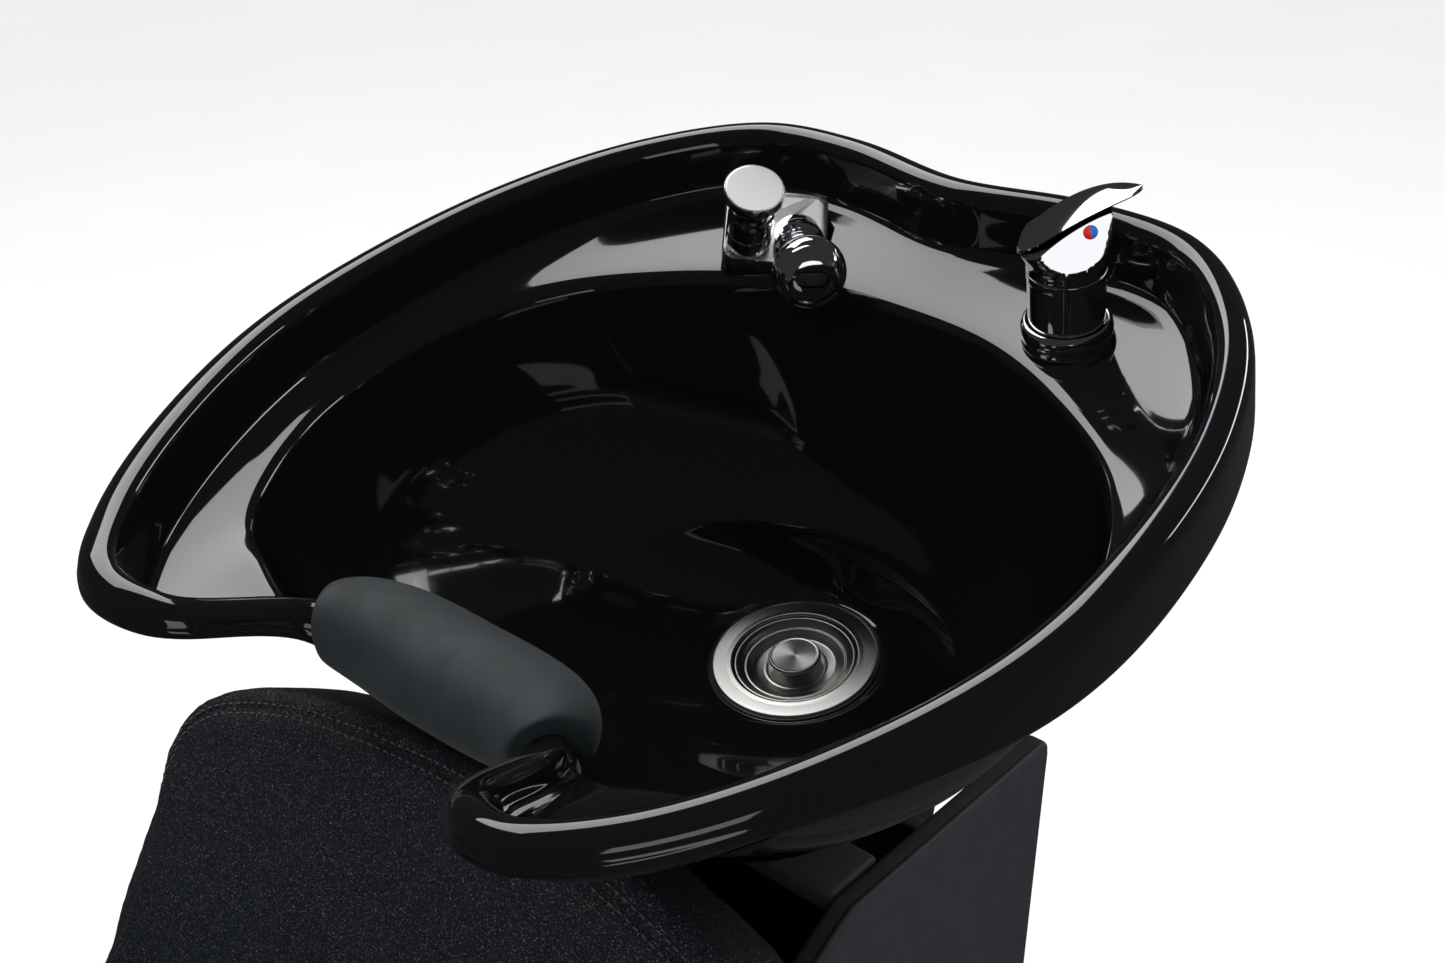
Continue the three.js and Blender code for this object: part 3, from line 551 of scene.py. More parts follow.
def between(a, b, share, sag=0.0):
    ring = [p.lerp(q, share) for p, q in zip(a, b)]
    for p in ring:
        p.z -= sag
    return ring


def bowl_rings():
    foot = deck_foot(-15.5, -0.5)
    lip = from_mouth(7, 1.2)
    seat = DRAIN_SEAT["flange"] + 1.5
    y, z, hole = DRAIN_SEAT["y"], DRAIN_SEAT["z"], DRAIN_SEAT["hole"]
    return [
        skirt_ring(BEAD + 3.0, 1.0, 1.2),
        skirt_ring(BEAD + 2.8, 0.9),
        skirt_ring(BEAD + 2.0, 0.6),
        *(from_crest(out, rise) for out, rise in (
            (BEAD + 1.2, -12), (BEAD + 0.2, -7), (BEAD * 0.78, -2.6), (BEAD * 0.3, -0.1),
            (-BEAD * 0.3, -0.1), (-BEAD * 0.8, -2.8), (-BEAD - 0.2, -8.5),
        )),
        between(from_crest(-BEAD - 1.0, -15), deck_foot(-12.5, 0), 0.35),
        deck_foot(-13.2, 9),
        deck_foot(-14.0, 3.4),
        foot,
        between(foot, lip, 0.2, 0.6),
        between(foot, lip, 0.5, 0.8),
        between(foot, lip, 0.8, 0.2),
        lip,
        from_mouth(1.5, -0.6),
        from_mouth(-1.6, -4.6),
        from_mouth(-3.2, -11),
        *(wall_ring(share, fullness) for share, fullness in (
            (0.80, 0.955), (0.58, 0.86), (0.36, 0.685), (0.18, 0.44), (0.075, 0.215), (0.02, 0.07),
        )),
        sump_ring(SUMP["rx"] - 5, SUMP["ry"] - 4, SUMP["y"] + 1, SUMP["z"] - 3.4),
        sump_ring(134, 106, 27, -226),
        sump_ring(108, 90, 38, -245),
        sump_ring(80, 74, 50, -257),
        sump_ring(seat + 5, seat + 4, y, z - 0.1),
        *(sump_ring(radius, radius, y, z - drop) for radius, drop in (
            (seat + 1, 0.5), (seat + 0.2, 1.2), (seat, 3.0), (hole + 0.5, 3.2), (hole, 3.7),
            (hole, 2.7 + SHELL), (hole + 1, 3.2 + SHELL), (seat + 5, 3.2 + SHELL),
        )),
        sump_ring(112, 96, 38, -246 - SHELL),
        sump_ring(SUMP["rx"] + 2, SUMP["ry"] + 2, SUMP["y"], SUMP["z"] - 7),
        wall_ring(0.18, 0.46, SHELL, 3),
        wall_ring(0.50, 0.81, SHELL, 2),
        wall_ring(0.80, 0.955, SHELL, 0),
        from_mouth(SHELL, -SHELL - 4),
        between(deck_foot(-11.5, -SHELL), from_mouth(SHELL + 3, -SHELL), 0.5),
        deck_foot(-11, -SHELL),
        deck_foot(-7, -SHELL + 4),
        from_crest(BEAD - 5.4, -14),
        skirt_ring(BEAD - 3.0, 0.6),
        skirt_ring(BEAD - 2.4, 0.93),
        skirt_ring(BEAD - 1.8, 1.0, 0.4),
    ]


def subdivide(piece, levels):
    modifier = piece.modifiers.new("smooth", "SUBSURF")
    modifier.levels = levels
    modifier.render_levels = levels


def add_bowl():
    rings = bowl_rings()
    verts = [BOWL @ (p * MM) for ring in rings for p in ring]
    faces = ring_faces(len(rings), BOWL_STEPS, True)
    piece = mesh_piece("bowl_body", verts, faces, "gloss_black", sharp=180)
    subdivide(piece, 1)
    return belongs(piece, "bowl", "gloss_black", "bowl_shell")


# ---- drain and strainer ----
def add_drain():
    flange = lathe("drain_flange_rim", [
        (41.8, 0.2), (43.2, 1.4), (46.5, 1.0), (55.4, 0.9), (57, -0.4), (57, -2.6), (44.6, -2.9), (44.6, -24),
        (31, -48), (21, -54), (21, -70), (18, -70), (18, -51.5), (29, -46), (41.8, -23),
    ], "brushed_steel", DRAIN, 0.6, 128)
    belongs(flange, "bowl", "brushed_steel", "drain_flange")
    basket = lathe("strainer_dish", [
        (0, -9), (17, -9), (19.5, -8.9), (20.2, -8.2), (21.5, -8.6), (27, -8), (33.4, -4.2), (34.4, -4.6),
        (38.2, -2.2), (39.6, -0.4), (41.3, -0.6), (41.3, -3), (36.5, -5), (30, -12), (26, -30), (0, -30),
    ], "brushed_steel", DRAIN, 0.7, 128)
    belongs(basket, "strainer", "brushed_steel", "strainer_basket")
    knob = lathe("strainer_pull", [
        (0, -9), (8, -9), (9, -7), (9, -1.4), (16.4, -0.8), (17.9, 0.4), (17.9, 1.8), (16.6, 3.0),
        (15.4, 2.7), (0, 2.9),
    ], "brushed_steel", DRAIN, 0.5, 128)
    belongs(knob, "strainer", "brushed_steel", "strainer_knob")


# ---- vacuum breaker and hand spray ----
def rounded_slab(name, width, depth, low, high, corner, edge, look, place):
    """A slab with rounded corners in plan and a rounded upper edge; sizes in millimetres."""
    levels = [(low, 0.0), (high - edge, 0.0), (high - edge * 0.3, edge * 0.3), (high, edge), (high, edge + 3)]
    x, y = width / 2 - corner, depth / 2 - corner
    quarter = 10
    verts = []
    for z, inset in levels:
        for k, (sx, sy) in enumerate(((1, 1), (-1, 1), (-1, -1), (1, -1))):
            for step in range(quarter):
                angle = math.radians(90 * (k + step / (quarter - 1)))
                verts.append(Vector((sx * x, sy * y, 0)) * MM + polar(max(0.4, corner - inset), angle, z))
    return mesh_piece(name, verts, tube_faces(len(levels), 4 * quarter, False), look, place, 40)


def add_breaker():
    plate = rounded_slab("fitting_plate", 70, 62, -9.0, 0.0, 9, 1.0, "pale_chrome", FITTING)
    belongs(plate, "bowl", "chrome")
    body = lathe("breaker_body", [
        (0, 0), (13.6, 0), (15.4, 1.6), (15.6, 4), (15.6, 13.6), (15.1, 14.2), (15.1, 14.7), (15.6, 15.3),
        (15.6, 28), (15.2, 31), (14.3, 33), (13.9, 36), (14.6, 40), (14.6, 46), (0, 46),
    ], "chrome", BREAKER, 0.5)
    belongs(body, "bowl", "chrome", "vacuum_breaker_body")
    side = lathe("breaker_cap_side", [
        (0, 46.3), (18.2, 46.3), (20, 47.8), (20, 54.2), (19.4, 54.7), (18.6, 54.4), (0, 54.4),
    ], "chrome", BREAKER, 0.4)
    belongs(side, "bowl", "chrome", "vacuum_breaker_cap")
    face = lathe("breaker_cap_face", [
        (0, 54.4), (18.9, 54.4), (18.9, 54.8), (18.4, 55.0), (0, 55.0),
    ], "pale_chrome", BREAKER, 0.15)
    belongs(face, "bowl", "chrome")


BUTTON_RIBS = (-8.4, -6.9, -5.4, -3.9, 3.9, 5.4, 6.9, 8.4)


def add_spray():
    collar = lathe("spray_socket", [
        (8, 1), (16.6, 1), (17.4, 2.6), (17.4, 8), (16.6, 10.6), (15.2, 12), (15.2, 13.2), (14.4, 13.8),
        (14.4, 16.4), (13.7, 17.2), (13.7, 19.4), (12.6, 20), (8, 20),
    ], "chrome", SPRAY, 0.5)
    belongs(collar, "bowl", "chrome")
    stem = lathe("spray_neck", [
        (0, 15), (7.6, 15), (7.6, 20.4), (12.4, 20.4), (12.4, 22), (11, 24), (10.4, 30), (9.6, 36), (9.2, 44),
        (0, 44),
    ], "chrome", SPRAY, 1.0)
    belongs(stem, "hand_spray", "chrome", "spray_stem")
    head = lathe("spray_dome", [
        (0, 44.3), (9.4, 44.3), (14, 46.4), (19.5, 51), (23.2, 56.5), (24.5, 62), (23.9, 66), (22, 69.4),
        (21.2, 69.6), (20.4, 71.4), (17.5, 74.4), (13.6, 76.2), (9, 76.8), (0, 77),
    ], "chrome", SPRAY, 1.6)
    pocket_socket(head)
    belongs(head, "hand_spray", "chrome", "spray_head")
    add_button()


def pocket_socket(head):
    """Cuts the shallow oval well that the button sits in, deep enough for its travel."""
    cutter = rounded_slab("well_cutter", 20.8, 10.8, 71.8, 84.0, 5.2, 0.5, "rubber", SPRAY)
    well = head.modifiers.new("well", "BOOLEAN")
    well.operation = "DIFFERENCE"
    well.solver = "EXACT"
    well.object = cutter
    apply_modifiers(head)
    bpy.data.objects.remove(cutter)
    head.data.set_sharp_from_angle(angle=math.radians(35))


def add_button():
    """The oval rubber button, with upright ribs on both sides of a smooth middle."""
    half_x, half_y = 9.9, 4.9
    columns, rows = 96, 24
    verts = []
    for j in range(rows + 1):
        v = j / rows * 2 - 1
        for i in range(columns + 1):
            u = i / columns * 2 - 1
            x = u * half_x
            past = max(0, abs(x) - half_x + half_y)
            y = v * math.sqrt(max(0, half_y**2 - past**2))
            rib = max(math.exp(-((x - at) / 0.36) ** 2) for at in BUTTON_RIBS)
            edge = (1 - v**6) * (1 - u**10)
            verts.append(Vector((x, y, 75.0 + 2.6 * edge**0.5 + 0.55 * rib * (1 - v**4))) * MM)
    button = mesh_piece("spray_press", verts, grid_faces(rows, columns), "rubber", SPRAY, 60)
    thicken(button, 0.6)
    belongs(button, "spray_button", "rubber", "spray_button")


# ---- mixer tap ----
LEVER_CROWN = [(-29, 62), (-20, 69), (-6, 78.5), (10, 86.5), (26, 91.5), (44, 94)]
HEAD_BASE = 44.4
TAP_RADIUS = 24.0


def crown_height(x):
    """Height of the lever's top at a distance along it, on a smooth curve through its crown points."""
    points = LEVER_CROWN
    x = min(max(x, points[0][0]), points[-1][0])
    i = max(k for k in range(len(points) - 1) if points[k][0] <= x)
    (x0, z0), (x1, z1) = points[i], points[i + 1]

    def slope(k):
        a, b = points[max(k - 1, 0)], points[min(k + 1, len(points) - 1)]
        return (b[1] - a[1]) / (b[0] - a[0])

    span = x1 - x0
    return hermite((x - x0) / span, z0, slope(i) * span, z1, slope(i + 1) * span)


def lever_half_width(x):
    """The leaf's half width: full over the head, drawn in to round ends."""
    if x < 0:
        return 15.4 * (1 - (x / -29) ** 2.6) ** 0.5
    return 15.4 * (1 - (x / 44) ** 2.2) ** 0.62


def add_lever():
    columns, rows = 48, 16
    verts = []
    for side in (1, -1):
        for i in range(columns + 1):
            t = math.sin((i / columns - 0.5) * math.pi) * 0.5 + 0.5
            x = -28.95 + 72.9 * t
            width = lever_half_width(x)
            thick = 3.9 if x < 10 else 3.9 - 1.1 * (x - 10) / 34
            for j in range(rows + 1):
                v = j / rows * 2 - 1
                rim = 1 - abs(v) ** 5
                top = crown_height(x) - 0.9 * v * v
                z = top if side > 0 else top - 1.0 - (thick - 1.4) * rim
                verts.append(Vector((x, v * width, z)) * MM)
    layer = (columns + 1) * (rows + 1)
    faces = grid_faces(columns, rows) + grid_faces(columns, rows, layer)
    for i in range(columns):
        for j in (0, rows):
            a = i * (rows + 1) + j
            faces.append((a, a + rows + 1, a + rows + 1 + layer, a + layer))
    for j in range(rows):
        for i in (0, columns):
            a = i * (rows + 1) + j
            faces.append((a, a + 1, a + 1 + layer, a + layer))
    lever = mesh_piece("mixer_lever", verts, faces, "chrome", TAP, 50)
    belongs(lever, "tap_lift", "chrome", "tap_lever")


def add_tap_head():
    """The turning head: round at its seam, flared at the tail, with flat sides that lean in to the lever."""
    corners, rows = 160, 22
    under = 4.3

    def reach(angle, z):
        flare = 5.0 * smoothstep(z, 48, 63)
        side = 25.0 if z < 52 else 25.0 - 10.0 * (z - 52) / 36
        r = TAP_RADIUS + flare
        if abs(math.sin(angle)) * r > side:
            r = side / abs(math.sin(angle))
        if math.cos(angle) * r > TAP_RADIUS:
            r = TAP_RADIUS / math.cos(angle)
        return r

    verts = []
    for j in range(rows + 1):
        for i in range(corners):
            angle = turn(i, corners)
            top = 70.0
            for _ in range(12):
                top = 0.5 * top + 0.5 * (crown_height(reach(angle, top) * math.cos(angle)) - under)
            z = HEAD_BASE + (top - HEAD_BASE) * j / rows
            verts.append(polar(reach(angle, z) - (0.5 if j == 0 else 0), angle, z))
    faces = ring_faces(rows + 1, corners, False)
    base, last = len(verts), rows * corners
    verts += [polar(0, 0, HEAD_BASE), polar(0, 0, crown_height(0) - under)]
    for i in range(corners):
        n = (i + 1) % corners
        faces += [(base, n, i), (base + 1, last + i, last + n)]
    head = mesh_piece("mixer_head", verts, faces, "chrome", TAP, 24)
    belongs(head, "tap_turn", "chrome", "tap_head")


def add_dot():
    """The warm and cold mark: a domed button, half red and half blue, in the head's flat side."""
    lean = math.degrees(math.atan2(10, 36))  # the side's slope in add_tap_head
    place = turned_place(TAP, (11, -18.06, 77), 0, 90 - lean)
    for name, look, start in (("mark_warm", "red", 0.5), ("mark_cold", "blue", 1.5)):
        steps, rings = 24, 5
        verts = [Vector((0, 0, 0.9)) * MM]
        for k in range(1, rings + 1):
            r = 4.3 * k / rings
            z = 0.9 - 0.9 * (k / rings) ** 2.4
            for i in range(steps + 1):
                verts.append(polar(r, math.pi * (start + i / steps) + math.radians(12), z))
        faces = [(0, 1 + i, 2 + i) for i in range(steps)] + grid_faces(rings - 1, steps, 1)
        mark = mesh_piece(name, verts, faces, look, place, 60)
        thicken(mark, 0.8)
        belongs(mark, "tap_turn", "indicator", *(["tap_indicator"] if name == "mark_warm" else []))


def add_mixer():
    ring = lathe("mixer_rose", [
        (24.2, -7.5), (27.2, -7.5), (28.0, -5), (27.4, -2), (27.9, 0), (28.3, 3), (28.0, 6.4), (26.6, 8.9),
        (25.2, 9.4), (24.2, 8.8),
    ], "chrome", TAP, 1.2, 128)
    belongs(ring, "bowl", "chrome", "mixer_base_ring")
    body = lathe("mixer_barrel", [
        (0, 6), (23.4, 6), (23.5, 20), (23.6, 38.6), (23.9, 39.4), (24.0, 43.4), (23.6, 44.0), (17.2, 44),
        (17.2, 14), (0, 14),
    ], "chrome", TAP, 0.5, 128)
    belongs(body, "bowl", "chrome", "mixer_body")
    add_tap_head()
    add_lever()
    add_dot()


# ---- neck rest ----
# The pad's sections, (out, up) from the rim's crest: its skin in the middle and at its ends, its inside.
NECK_FULL = [
    (14.5, -24), (18, -26), (21.5, -25), (25, -20), (26.2, -13), (26.4, -8), (24.6, -6), (25.8, -3), (23, 5),
    (17, 11.5), (9, 15.2), (-3, 17), (-15, 16.4), (-27, 12.5), (-37, 6), (-43.5, -3), (-45, -12), (-43, -22),
    (-37.5, -29.5), (-31, -31), (-25, -29.5),
]
NECK_THIN = [
    (14.5, -22), (16.2, -23), (17.8, -22), (18.8, -19), (19.2, -15), (19.2, -11), (19, -8), (18.6, -5),
    (17, 0), (14, 4.4), (9, 7.4), (3, 8.6), (-3, 8.2), (-8, 6.4), (-12.5, 2.8), (-15.8, -1.6), (-17.8, -7),
    (-19.2, -12), (-20.4, -17), (-21.4, -21), (-21, -25),
]
NECK_INNER = [
    (-18.6, -25), (-16.6, -21), (-15.2, -16), (-13, -5), (-7, 1.6), (0, 2.3), (8, 1), (12.4, -5), (13.4, -16),
]
NECK_REACH = 0.0392  # share of the rim's curve that the pad covers, each side of the middle


def add_neck_rest():
    columns = 60
    fine = closed_curve(RIM_CREST, 2400)
    flow = outwards(fine)
    rows = []
    for j in range(columns + 1):
        share = math.sin((j / columns * 2 - 1) * math.pi / 2)
        at = 1200 + share * NECK_REACH * 2400
        low = int(at) % 2400
        p, out = fine[low].lerp(fine[(low + 1) % 2400], at % 1), flow[low]
        swell = math.sqrt(max(0, 1 - abs(share) ** 2.7))
        skin = [(Vector(thin).lerp(Vector(full), swell)) for thin, full in zip(NECK_THIN, NECK_FULL)]
        section = skin + [Vector(point) for point in NECK_INNER]
        rows.append([Vector((*(p + out * o).xy, p.z + h)) * MM for o, h in section])
    verts = [p for row in rows for p in row]
    faces = tube_faces(len(rows), len(rows[0]), False)
    pad = mesh_piece("neck_pad", verts, faces, "pad_grey", BOWL, 180)
    wrinkle(pad, 0.5, 26)
    subdivide(pad, 1)
    belongs(pad, "bowl", "pad_grey", "neck_rest")


def wrinkle(piece, depth, scale):
    """Moves each point along its normal by a little smooth noise; depth in millimetres."""
    for vert in piece.data.vertices:
        vert.co += vert.normal * noise.noise(vert.co * scale) * depth * MM


# ---- padded upholstery ----
def puffed(name, node, inset, cap, voxel=0.006, through=Vector((0, 0, 1))):
    """A vinyl cushion blown up by cloth pressure inside its CAD solid.

    The swelling is capped and kept along its thickness, so that its outline stays as it was cut.
    """
    piece, shape = copy_of(node, name, "seat_vinyl")
    bmesh.ops.recalc_face_normals(shape, faces=shape.faces)
    shape.to_mesh(piece.data)
    shape.free()
    remesh = piece.modifiers.new("voxels", "REMESH")
    remesh.mode = "VOXEL"
    remesh.voxel_size = voxel
    apply_modifiers(piece)
    shrink(piece, inset)
    start = [vert.co.copy() for vert in piece.data.vertices]
    blow_up(piece)
    for vert, before in zip(piece.data.vertices, start):
        rise = (vert.co - before).dot(through)
        vert.co = before + through * min(cap, max(-cap, rise))
    relax(piece, 4)
    piece.data.shade_smooth()
    return piece


def apply_modifiers(piece):
    graph = bpy.context.evaluated_depsgraph_get()
    graph.update()
    final = bpy.data.meshes.new_from_object(piece.evaluated_get(graph), depsgraph=graph)
    piece.modifiers.clear()
    old = piece.data
    piece.data = final
    bpy.data.meshes.remove(old)


def shrink(piece, inset):
    piece.data.update()
    moves = [vert.normal * inset for vert in piece.data.vertices]
    for vert, move in zip(piece.data.vertices, moves):
        vert.co -= move


def relax(piece, rounds):
    shape = bmesh.new()
    shape.from_mesh(piece.data)
    axes = {"use_axis_x": True, "use_axis_y": True, "use_axis_z": True}
    for _ in range(rounds):
        bmesh.ops.smooth_vert(shape, verts=shape.verts, factor=0.5, **axes)
    shape.to_mesh(piece.data)
    shape.free()


CLOTH = {
    "quality": 4, "use_pressure": True, "uniform_pressure_force": 4, "tension_stiffness": 12,
    "compression_stiffness": 12, "shear_stiffness": 5, "bending_stiffness": 1.5,
}


def blow_up(piece):
    settings = piece.modifiers.new("cloth", "CLOTH").settings
    for key, value in CLOTH.items():
        setattr(settings, key, value)
    settings.effector_weights.gravity = 0
    scene = bpy.context.scene
    for step in range(1, 21):
        scene.frame_set(step)
    apply_modifiers(piece)
    scene.frame_set(1)


def tree_of(piece):
    shape = bmesh.new()
    shape.from_mesh(piece.data)
    tree = BVHTree.FromBMesh(shape)
    shape.free()
    return tree


def spokes(centre, across, up, radius, sides):
    """A ring of points round a centre."""
    angles = [turn(side, sides) for side in range(sides)]
    return [centre + (across * math.cos(a) + up * math.sin(a)) * radius for a in angles]


def tube_faces(rings, sides, closed):
    """Faces of a tube of rings, with a lid on each end unless it closes on itself."""
    faces = ring_faces(rings, sides, closed)
    if not closed:
        faces.append(tuple(range(sides))[::-1])
        faces.append(tuple(range((rings - 1) * sides, rings * sides)))
    return faces


def stitches(name, tree, path, length=4.2, gap=2.4, radius=0.55):
    """A row of sewn stitches: short rounded threads laid end to end along a path, pulled onto a surface."""
    verts, faces = [], []
    sides, sink = 6, 0.2
    pitch = (length + gap) * MM
    spans = [(b - a).length for a, b in zip(path, path[1:])]

    def at(distance):
        for a, b, span in zip(path, path[1:], spans):
            if distance <= span or b is path[-1]:
                return a.lerp(b, distance / span if span else 0)
            distance -= span

    for k in range(int(sum(spans) / pitch)):
        ends = [at(k * pitch), at(k * pitch + length * MM)]
        hits = [tree.find_nearest(p) for p in ends]
        if any(hit[0] is None for hit in hits):
            continue
        a, b = (hit[0] - hit[1] * sink * MM for hit in hits)
        up = hits[0][1]
        along = (b - a).normalized()
        across = along.cross(up).normalized()
        first = len(verts)
        for share, size, lift in ((0, 0.35, -0.5), (0.2, 0.95, 0.3), (0.8, 0.95, 0.3), (1, 0.35, -0.5)):
            centre = a.lerp(b, share) + up * lift * radius * MM
            verts += spokes(centre, across, up, radius * MM * size, sides)
        faces += [tuple(first + corner for corner in face) for face in tube_faces(4, sides, False)]
    row = mesh_piece(name, verts, faces, "thread", Matrix(), 80)
    return belongs(row, CHAIR, "seat_vinyl")


def piping(name, path, radius, closed=False):
    """A round vinyl cord sewn into a seam, as a tube along a path."""
    sides = 10
    verts = []
    count = len(path)
    for i, p in enumerate(path):
        before = path[i - 1] if closed or i else p
        after = path[(i + 1) % count] if closed or i < count - 1 else p
        along = (after - before).normalized()
        upright = abs(along.z) > 0.99
        across = (along.orthogonal() if upright else along.cross(Vector((0, 0, 1)))).normalized()
        verts += spokes(p, across, across.cross(along), radius * MM, sides)
    cord = mesh_piece(name, verts, tube_faces(count, sides, closed), "panel_vinyl", Matrix(), 80)
    return belongs(cord, CHAIR, "panel_vinyl")


# ---- chair ----
BACK_HALF = 0.270
BACK_PLACE = turned_place(Matrix.Translation(RIM_CENTRE), (0, -165, -178), 0, -29.5)


def back_crest(inset):
    """Points along the back's crowned top edge on its front face, side to side, moved in by inset."""
    ends = [Vector((BACK_HALF, -0.106)), Vector((BACK_HALF, -0.039)), Vector((0.152, -0.005)), Vector((0, 0))]
    half = []
    for k in range(25):
        t = k / 24
        weights = ((1 - t) ** 3, 3 * (1 - t) ** 2 * t, 3 * (1 - t) * t * t, t**3)
        half.append(sum((e * w for e, w in zip(ends, weights)), Vector((0, 0))))
    half.insert(0, Vector((BACK_HALF, -0.135)))
    line = half + [Vector((-x, z)) for x, z in half[-2::-1]]
    moved = []
    for i, point in enumerate(line):
        along = line[min(i + 1, len(line) - 1)] - line[max(i - 1, 0)]
        inward = Vector((-along.y, along.x)).normalized()
        moved.append(point + inward * inset)
    return [BACK_PLACE @ Vector((x, 0, z)) for x, z in moved]


def add_back():
    through = BACK_PLACE.to_3x3() @ Vector((0, 1, 0))
    pad = puffed("back_pad", "back_cushion", 0.003, 0.008, through=through)
    belongs(pad, CHAIR, "seat_vinyl", "back_cushion")
    tree = tree_of(pad)
    for k, inset in enumerate((0.012, 0.020)):
        stitches(f"back_seam_{k + 1}", tree, back_crest(inset), radius=0.75)
    groove(pad, back_crest(0.016), 0.003, 0.0022)


def groove(piece, path, width, depth):
    """Pulls a surface in along a seam's path, with a soft edge."""
    curve = [a.lerp(b, t / 4) for a, b in zip(path, path[1:]) for t in range(4)]
    tree = KDTree(len(curve))
    for i, point in enumerate(curve):
        tree.insert(point, i)
    tree.balance()
    place = piece.matrix_world
    moves = []
    for vert in piece.data.vertices:
        distance = tree.find(place @ vert.co)[2]
        near = distance < 4 * width
        moves.append(vert.normal * depth * math.exp(-((distance / width) ** 2)) if near else None)
    for vert, move in zip(piece.data.vertices, moves):
        if move:
            vert.co -= move


def rounded_loop(low, high, inset, corner, steps=8):
    """A level rounded rectangle of points on the top of a box, in from its edges by inset."""
    x = (low.x + inset + corner, high.x - inset - corner)
    y = (low.y + inset + corner, high.y - inset - corner)
    points = []
    for k, (cx, cy) in enumerate(((x[1], y[1]), (x[0], y[1]), (x[0], y[0]), (x[1], y[0]))):
        for step in range(steps + 1):
            angle = math.radians(90 * (k + step / steps))
            points.append(Vector((cx + corner * math.cos(angle), cy + corner * math.sin(angle), high.z)))
    return points


def add_seat():
    low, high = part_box("seat_cushion")
    pad = puffed("seat_pad", "seat_cushion", 0.006, 0.014)
    belongs(pad, CHAIR, "seat_vinyl", "seat_cushion")
    loop = rounded_loop(low, high, 0.022, 0.025)
    stitches("seat_seam", tree_of(pad), loop + loop[:1])
    for label in ("left", "right"):
        name = f"arm_pad_{label}"
        arm = puffed(f"arm_cushion_{label}", name, 0.002, 0.005, 0.004)
        belongs(arm, CHAIR, "seat_vinyl", name)
        ring = rounded_loop(*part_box(name), 0.008, 0.014)
        stitches(f"arm_seam_{label}", tree_of(arm), ring + ring[:1])


CHAIR_FRAME = {  # node: its look and the width of its eased edges
    "back_board": ("plywood", 0.0015), "seat_board": ("plywood", 0.0015),
    "back_strap_left": ("black_steel", 0.0012), "back_strap_right": ("black_steel", 0.0012),
    "chair_frame": ("black_steel", 0.002),
}


def add_softened(table):
    """Replaces each node of a table with a finer copy of itself."""
    for name, (look, width) in table.items():
        belongs(softened(f"{name}_piece", name, look, width), body_of_node(name), look, name)


def add_chair_frame():
    add_softened(CHAIR_FRAME)
    for label in ("left", "right"):
        name = f"arm_panel_{label}"
        panel = softened(f"arm_side_{label}", name, "panel_vinyl", 0.006, 4)
        belongs(panel, CHAIR, "panel_vinyl", name)
        low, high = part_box(name)
        for k, x in enumerate((low.x + 0.004, high.x - 0.004)):
            piping(f"arm_piping_{label}_{k + 1}", arm_outline(x, low, high), 2.0, True)


def arm_outline(x, low, high):
    """The arm panel's outline, just inside its edge, with its corners eased."""
    edge = 0.001
    y0, y1, z0, z1 = low.y + edge, high.y - edge, low.z + edge, high.z - edge
    corners = [
        (y0 + 0.04, z0), (y1 - 0.03, z0), (y1, z0 + 0.04), (y1, z1 - 0.03), (y1 - 0.03, z1), (y0 + 0.04, z1),
        (y0, z1 - 0.04), (y0, z0 + 0.04),
    ]
    return eased([Vector((x, y, z)) for y, z in corners], 0.012)


def eased(corners, radius):
    """A closed path with its corners rounded."""
    path = []
    for i, corner in enumerate(corners):
        path += bend(corners[i - 1], corner, corners[(i + 1) % len(corners)], radius, 5)
    return path


# ---- pedestal ----
def add_pedestal():
    for name, width in (
        ("pedestal_side_left", 0.005), ("pedestal_side_right", 0.005), ("pedestal_front", 0.004),
        ("pedestal_top_rail", 0.004), ("service_panel", 0.003),
    ):
        panel = softened(f"{name}_cover", name, "panel_vinyl", width, 4)
        belongs(panel, CHAIR, "panel_vinyl", name)
    plinth = softened("plinth_box", "pedestal_plinth", "black_steel", 0.002)
    belongs(plinth, CHAIR, "plinth_black", "pedestal_plinth")
    for side, label in ((-1, "left"), (1, "right")):
        low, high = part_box(f"pedestal_side_{label}")
        x = high.x - 0.0035 if side > 0 else low.x + 0.0035
        rear, shoulder, front = high.y - 0.0015, RIM_Y - 0.040, low.y + 0.0015
        top, front_top = high.z - 0.0015, high.z - 0.047
        path = [Vector((x, y, z)) for y, z in (
            (rear, low.z), (rear, high.z - 0.010), (high.y - 0.004, high.z - 0.004), (high.y - 0.010, top),
            (shoulder + 0.010, top), (shoulder, top), (shoulder - 0.010, top - 0.0045),
            (front + 0.010, front_top + 0.0035), (front + 0.002, front_top), (front, front_top - 0.010),
            (front, low.z),
        )]
        piping(f"pedestal_piping_{label}", path, 2.4)
        inner = [p + Vector((side * 0.004, 0, -0.012)) for p in path[3:8]]
        cover = bpy.data.objects[f"pedestal_side_{label}_cover"]
        stitches(f"pedestal_seam_{label}", tree_of(cover), inner, 3.6, 2.2, 0.4)
    add_screws()


def add_screws():
    """Pan-head screws round the service panel."""
    low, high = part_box("service_panel")
    for row, z in enumerate((low.z + 0.03, (low.z + high.z) / 2, high.z - 0.03)):
        for x, label in ((low.x + 0.02, "left"), (high.x - 0.02, "right")):
            place = turned_place(Matrix.Translation((x, high.y, z)), (0, 0, 0), 0, -90)
            screw = lathe(f"panel_screw_{label}_{row + 1}", [
                (0, 0.6), (1.6, 0.6), (1.9, 1.9), (2.6, 2.1), (4.0, 1.2), (4.4, 0.0), (4.4, -0.6), (0, -0.6),
            ], "steel_hardware", place, 0.3, 32)
            belongs(screw, CHAIR, "steel_hardware")


